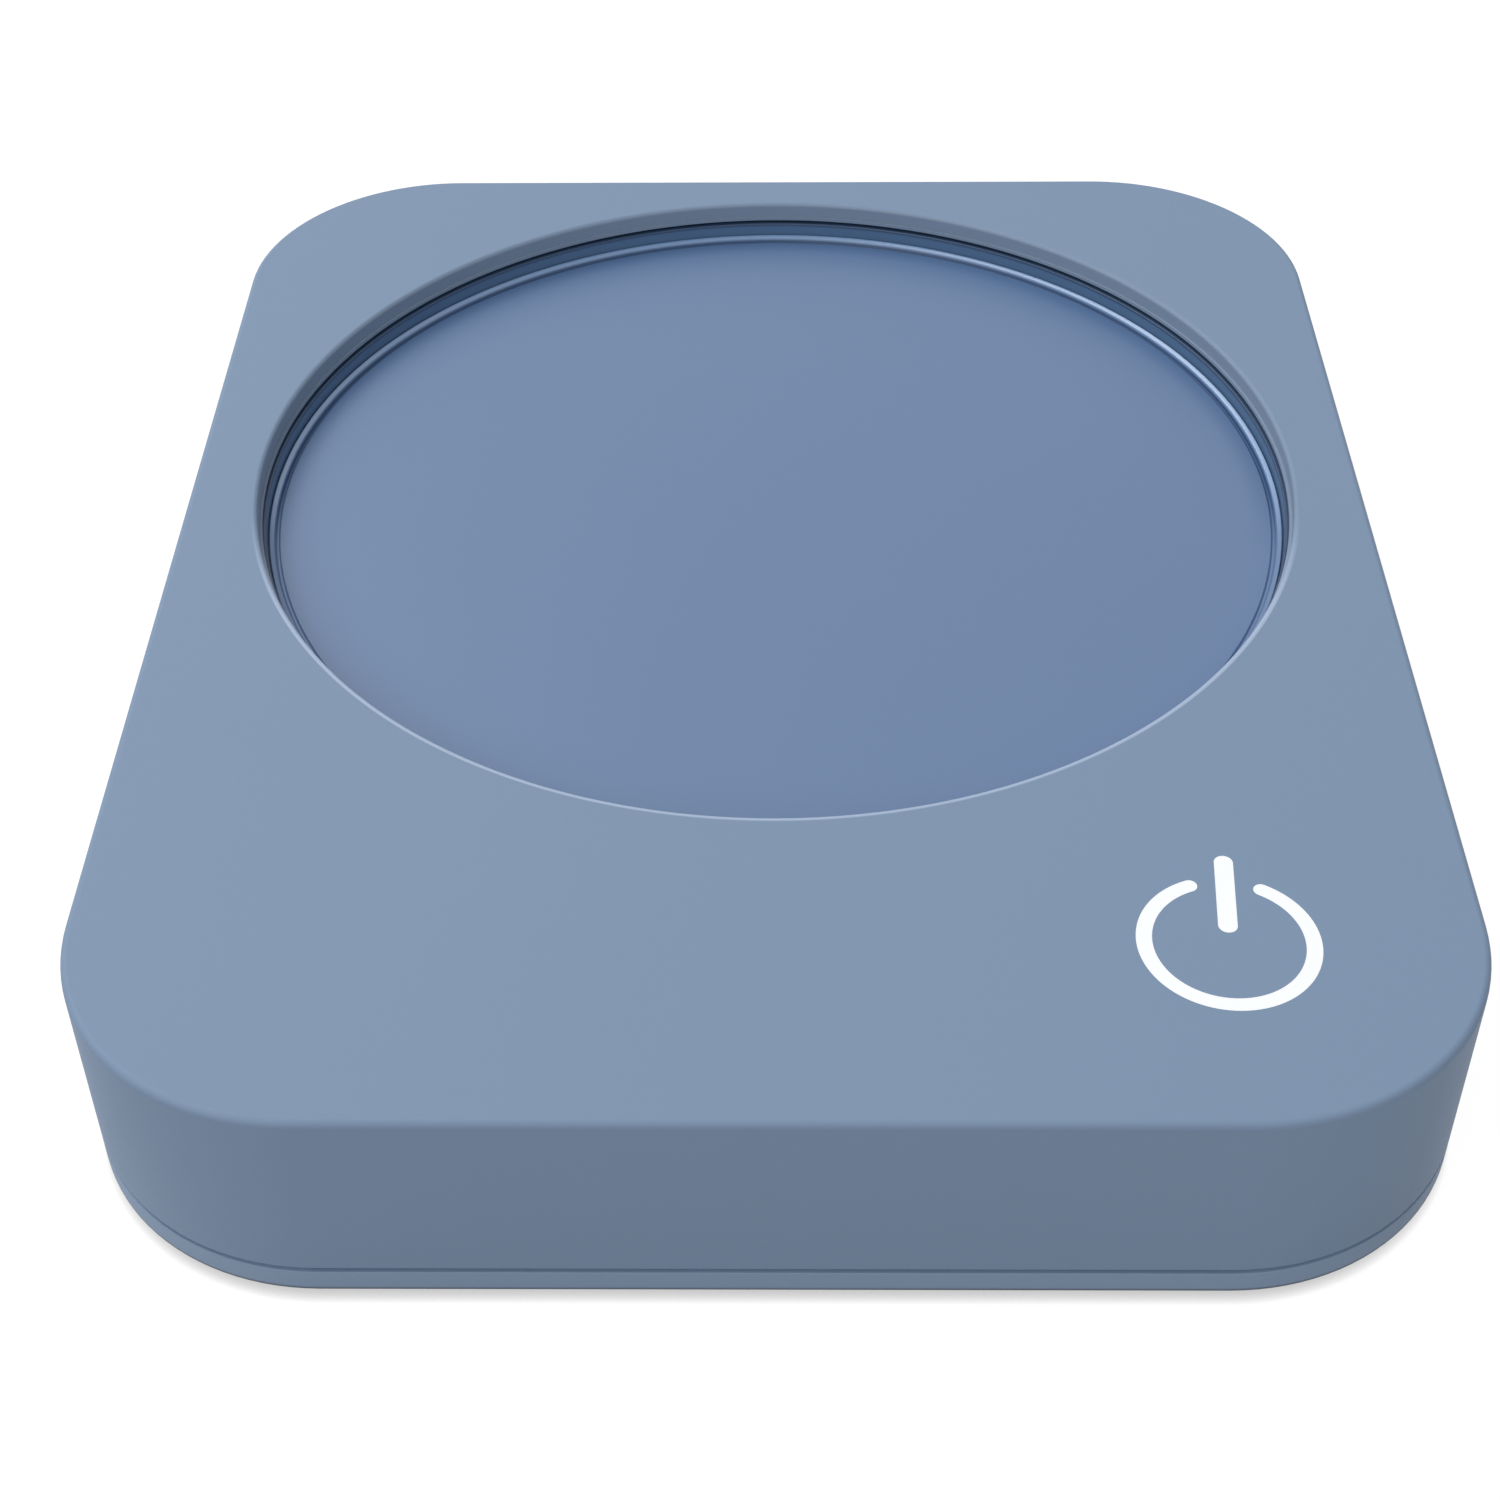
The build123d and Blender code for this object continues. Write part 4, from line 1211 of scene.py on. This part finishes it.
base_plastic = grained("base_plastic", base_slate_painted_lighter, matt_roughness, **moulded)
# Painted shadow: the base cover darkens towards its sole.
sole_shade = base_plastic.fade(base_plastic.along("Z"), sole_start_z, sole_full_z)
base_plastic.set({"Base Color": base_plastic.blend(sole_shade, base_plastic.colour, sole_shade_slate)})

ring_plastic = grained("ring_plastic", deep_slate, ring_roughness, spread=0.02)
# Painted shade: the crown of the ring is darkened almost to black.
ring_crown_shade = ring_plastic.fade(ring_plastic.along("Z"), crown_start_z, crown_full_z)
ring_plastic.set({"Base Color": ring_plastic.blend(ring_crown_shade, ring_plastic.colour, crown_shade_blue)})
print("base plastic:", len(base_plastic.tree.nodes), "nodes, ring:", len(ring_plastic.tree.nodes))

# %% [markdown]
# The plate has a smooth satin coating.  A painted shadow deepens it towards its
# far edge: in a narrow ramp beside the groove, and in a wide one that grows
# towards the back.  On the far half the groove has painted shade, and the crest
# of the bead has a painted highlight and is glossy.

# %% Plate
plate_blue = rgb(0.133, 0.217, 0.382)
# The colour of the painted shadow at the far edge of the plate.
shaded_blue = rgb(0.055, 0.125, 0.270)
# The colour of the painted shade in the groove on the far half.
groove_shade_blue = rgb(0.026, 0.075, 0.180)
# The lighter blue of the painted highlight on the crest of the bead.
crest_highlight_blue = rgb(0.185, 0.320, 0.550)
satin_roughness = 0.38
crest_gloss = 0.08
crest_coat = 0.9
narrow_shade = 0.45
wide_shade = 0.25
far_half_start_y = well_y - 10 * mm
far_half_full_y = well_y + 3 * mm
back_full_y = well_y + 42 * mm
narrow_start_radius = groove_inner_radius - 2.4 * mm
wide_start_radius = groove_inner_radius - 7.0 * mm
wide_full_radius = groove_inner_radius - 1.0 * mm
crest_inner_radius = bead_radius - 0.62 * mm
crest_outer_radius = bead_radius + 0.4 * mm

plate_coating = grained(
    "plate_coating",
    plate_blue,
    satin_roughness,
    spread=0.012,
    drift=25 * mm,
    grain=0.22 * mm,
    coat_roughness=coat_roughness,
)
depth = plate_coating.along("Y")
far_half = plate_coating.fade(depth, far_half_start_y, far_half_full_y)
back = plate_coating.fade(depth, well_y, back_full_y)
radius = plate_coating.radius()
narrow_ramp = plate_coating.fade(radius, narrow_start_radius, groove_inner_radius)
wide_ramp = plate_coating.fade(radius, wide_start_radius, wide_full_radius)
# Painted shadow: a narrow ramp on the far half and a wide one towards the back darken the plate beside
# the groove.
edge_shade = far_half * narrow_ramp * narrow_shade + back * wide_ramp * wide_shade
# Painted shade: the groove is darkened on the far half.
groove_shade = far_half * plate_coating.hoop(groove_inner_radius, groove_outer_radius)
# The crest mask gives real gloss, through less roughness and a coat, and a painted highlight, through a
# lighter colour.
crest_gloss_and_highlight = far_half * plate_coating.hoop(crest_inner_radius, crest_outer_radius)
shaded = plate_coating.blend(edge_shade, plate_coating.colour, shaded_blue)
raised = plate_coating.blend(crest_gloss_and_highlight, shaded, crest_highlight_blue)
plate_coating.set({
    "Base Color": plate_coating.blend(groove_shade, raised, groove_shade_blue),
    "Roughness": plate_coating.roughness - crest_gloss_and_highlight * crest_gloss,
    "Coat Weight": crest_gloss_and_highlight * crest_coat,
})
print("plate coating:", len(plate_coating.tree.nodes), "nodes")

# %% [markdown]
# The light guide is frosted white and glows a little, and the feet are a dark
# rubber with a coarse grain.

# %% Light guide and feet
light_guide_white = Finish("light_guide_white", roughness=0.35)
frost = light_guide_white.noise(0.5 * mm)
light_guide_white.set({
    "Base Color": light_guide_white.blend(frost, rgb(0.88, 0.90, 0.91), rgb(0.92, 0.94, 0.95)),
    "Emission Color": light_guide_white.blend(frost, rgb(0.95, 1.0, 1.0), rgb(1.0, 1.0, 1.0)),
    "Emission Strength": 0.15,
})

foot_rubber = grained("foot_rubber", rgb(0.050, 0.055, 0.065), 0.75, grain=0.25 * mm, depth=0.01 * mm)
print("light guide:", len(light_guide_white.tree.nodes), "nodes, feet:", len(foot_rubber.tree.nodes))

# %% [markdown]
# ### Inner parts
# These only show through the vents and the inlet, but each still gets the finish
# of its own kind, so that the piece also looks right when it is taken apart.

# %% Inner finishes
finishes = {
    "steel": grained("zinc_plated_steel", rgb(0.55, 0.56, 0.58), 0.32, metallic=1.0),
    "spring_steel": grained("spring_steel", rgb(0.60, 0.60, 0.62), 0.28, metallic=1.0),
    "tinned_metal": grained("tinned_metal", rgb(0.66, 0.66, 0.67), 0.30, metallic=1.0, grain=0.2 * mm),
    "copper": grained("contact_copper", rgb(0.80, 0.56, 0.30), 0.30, metallic=1.0, grain=0.2 * mm),
    "led": grained("lamp_package", rgb(0.85, 0.85, 0.80), 0.30),
    "polyimide_film": grained("polyimide_film", rgb(0.52, 0.25, 0.05), 0.25, drift=6 * mm),
    "insulation": grained(
        "insulation_felt", rgb(0.62, 0.61, 0.57), 0.90, spread=0.08, drift=2 * mm, depth=0.1 * mm
    ),
    "carrier_plastic": grained("carrier_plastic", rgb(0.055, 0.058, 0.065), 0.50),
    "black_plastic": grained("black_plastic", rgb(0.022, 0.022, 0.024), 0.45),
    "switch_plastic": grained("switch_plastic", rgb(0.70, 0.10, 0.07), 0.40),
    "wire_insulation": grained("wire_insulation", rgb(0.55, 0.05, 0.04), 0.45),
    "board_laminate": grained("board_laminate", rgb(0.02, 0.14, 0.06), 0.35, spread=0.15, drift=3 * mm),
    "housing": housing_plastic,
    "base": base_plastic,
    "ring_plastic": ring_plastic,
    "plate_coating": plate_coating,
    "light_guide": light_guide_white,
    "foot_rubber": foot_rubber,
}
print("finishes:", len(finishes))

# %% [markdown]
# Each piece says which slot it takes its finish from, so dressing is one loop
# over the solids and one over the new pieces.

# %% Dress the pieces
node_slots = {part["node"]: part["material_slot"] for part in frame["record"]["subparts"]}
for name, solid in frame["nodes"].items():
    for slot in solid.material_slots:
        slot.material = finishes[node_slots[name]].material

new_pieces = {
    top_cover: "housing",
    base_cover: "base",
    tray_ring: "ring_plastic",
    heating_plate: "plate_coating",
    light_guide: "light_guide",
    feet_set: "foot_rubber",
    inlet_shell: "tinned_metal",
    inlet_tongue: "black_plastic",
    contacts: "copper",
    tray_springs: "spring_steel",
    heater_leads: "wire_insulation",
}
for piece, slot_name in new_pieces.items():
    piece.data.materials.clear()
    piece.data.materials.append(finishes[slot_name].material)
print("dressed:", len(frame["nodes"]), "solids and", len(new_pieces), "new pieces")

# %% [markdown]
# ## Studio
# The floor is white to the eye and a plain pale card to the light.  What the
# camera sees of it glows white, and the glow fails only where something stands
# close over the floor, so the object keeps its shadow.

# %% Floor
floor_size = 4.0
contact_reach = 1.2 * mm
contact_samples = 8
contact_fall = 1.5
glow_strength = 0.95

bpy.ops.object.select_all(action="DESELECT")
bpy.ops.mesh.primitive_plane_add(size=floor_size, location=(0, 0, 0))
floor = bpy.context.active_object
floor.name = "studio_floor"

floor_material = bpy.data.materials.new("pale_floor")
card = Nodes(floor_material)
card.tree.nodes.remove(card.tree.nodes["Principled BSDF"])
openness = card.add(
    "ShaderNodeAmbientOcclusion", {"samples": contact_samples}, {"Distance": contact_reach}, output="AO"
)
glow_input = {"Color": rgb(1, 1, 1), "Strength": openness**contact_fall * glow_strength}
glow = card.add("ShaderNodeEmission", {}, glow_input)
bounce = card.add("ShaderNodeBsdfDiffuse", {}, {"Color": rgb(0.50, 0.50, 0.50)})
dim = card.add("ShaderNodeBsdfDiffuse", {}, {"Color": rgb(0.12, 0.12, 0.12)})
shown = card.add("ShaderNodeAddShader", {}, {0: dim, 1: glow})
mixed = card.add("ShaderNodeMixShader", {}, {0: card.looked_at(), 1: bounce, 2: shown})
card.feed(card.tree.nodes["Material Output"], {"Surface": mixed})
floor.data.materials.append(floor_material)
print("floor", floor_size, "m square,", len(card.tree.nodes), "nodes")

# %% [markdown]
# A soft key lamp stands behind the object to its left.  It lights the deck,
# leaves the front in shade, and lets the wall of the well throw its soft shadow
# on the far side of the plate.  A weaker lamp in front and the world fill the
# shade.

# %% Lamps and world
target = Vector((0, 0, deck_z))


def area_lamp(name, azimuth, elevation, distance, size, power):
    """A square lamp in this direction from the object, looking at it; azimuth 0 is behind."""
    data = bpy.data.lights.new(name, "AREA")
    data.energy = power
    data.size = size
    lamp = add_object(name, data)
    bearing, rise = radians(azimuth), radians(elevation)
    direction = Vector((cos(rise) * sin(bearing), cos(rise) * cos(bearing), sin(rise)))
    lamp.location = target + direction * distance
    lamp.rotation_euler = direction.to_track_quat("Z", "Y").to_euler()
    print(name, power, "W, size", size, "m")


area_lamp("key_lamp", azimuth=-48, elevation=54, distance=2.0, size=1.5, power=22.0)
area_lamp("front_fill", azimuth=-150, elevation=40, distance=2.0, size=1.4, power=13.0)

world = bpy.data.worlds.new("studio")
bpy.context.scene.world = world
sky = Nodes(world)
background = sky.tree.nodes["Background"]
sky.feed(background, {"Color": rgb(1, 1, 1), "Strength": 0.35})
white = sky.add("ShaderNodeBackground", {}, {"Color": rgb(1, 1, 1), "Strength": 1.0})
fill = Wire(sky, background.outputs[0])
both = sky.add("ShaderNodeMixShader", {}, {0: sky.looked_at(), 1: fill, 2: white})
sky.feed(sky.tree.nodes["World Output"], {"Surface": both})

# %% [markdown]
# The camera looks down at the object from the front, almost square on.  Its
# place, its three angles and its focal length are worked out for a picture of
# 1500 by 1500 pixels.

# %% Camera
picture_width = 1500
focal_pixels = 2544.114
camera_place = Vector((0.40477, -178.16119, 155.99462)) * mm
camera_yaw = -0.01535
camera_pitch = 0.73022
camera_roll = -0.01043

level = cos(camera_pitch)
forward = Vector((sin(camera_yaw) * level, cos(camera_yaw) * level, -sin(camera_pitch)))
level_right = Vector((cos(camera_yaw), -sin(camera_yaw), 0))
level_up = level_right.cross(forward)
right = cos(camera_roll) * level_right + sin(camera_roll) * level_up
up = cos(camera_roll) * level_up - sin(camera_roll) * level_right

camera_data = bpy.data.cameras.new("camera")
camera_data.sensor_fit = "HORIZONTAL"
camera_data.sensor_width = 36.0
camera_data.lens = focal_pixels / picture_width * camera_data.sensor_width
camera_data.clip_start = 0.01
camera = add_object("camera", camera_data)
facing = Matrix((right, up, -forward)).transposed().to_4x4()
camera.matrix_world = Matrix.Translation(camera_place) @ facing
bpy.context.scene.camera = camera
bpy.context.scene.view_settings.view_transform = "Standard"
print("lens", round(camera_data.lens, 2), "mm")
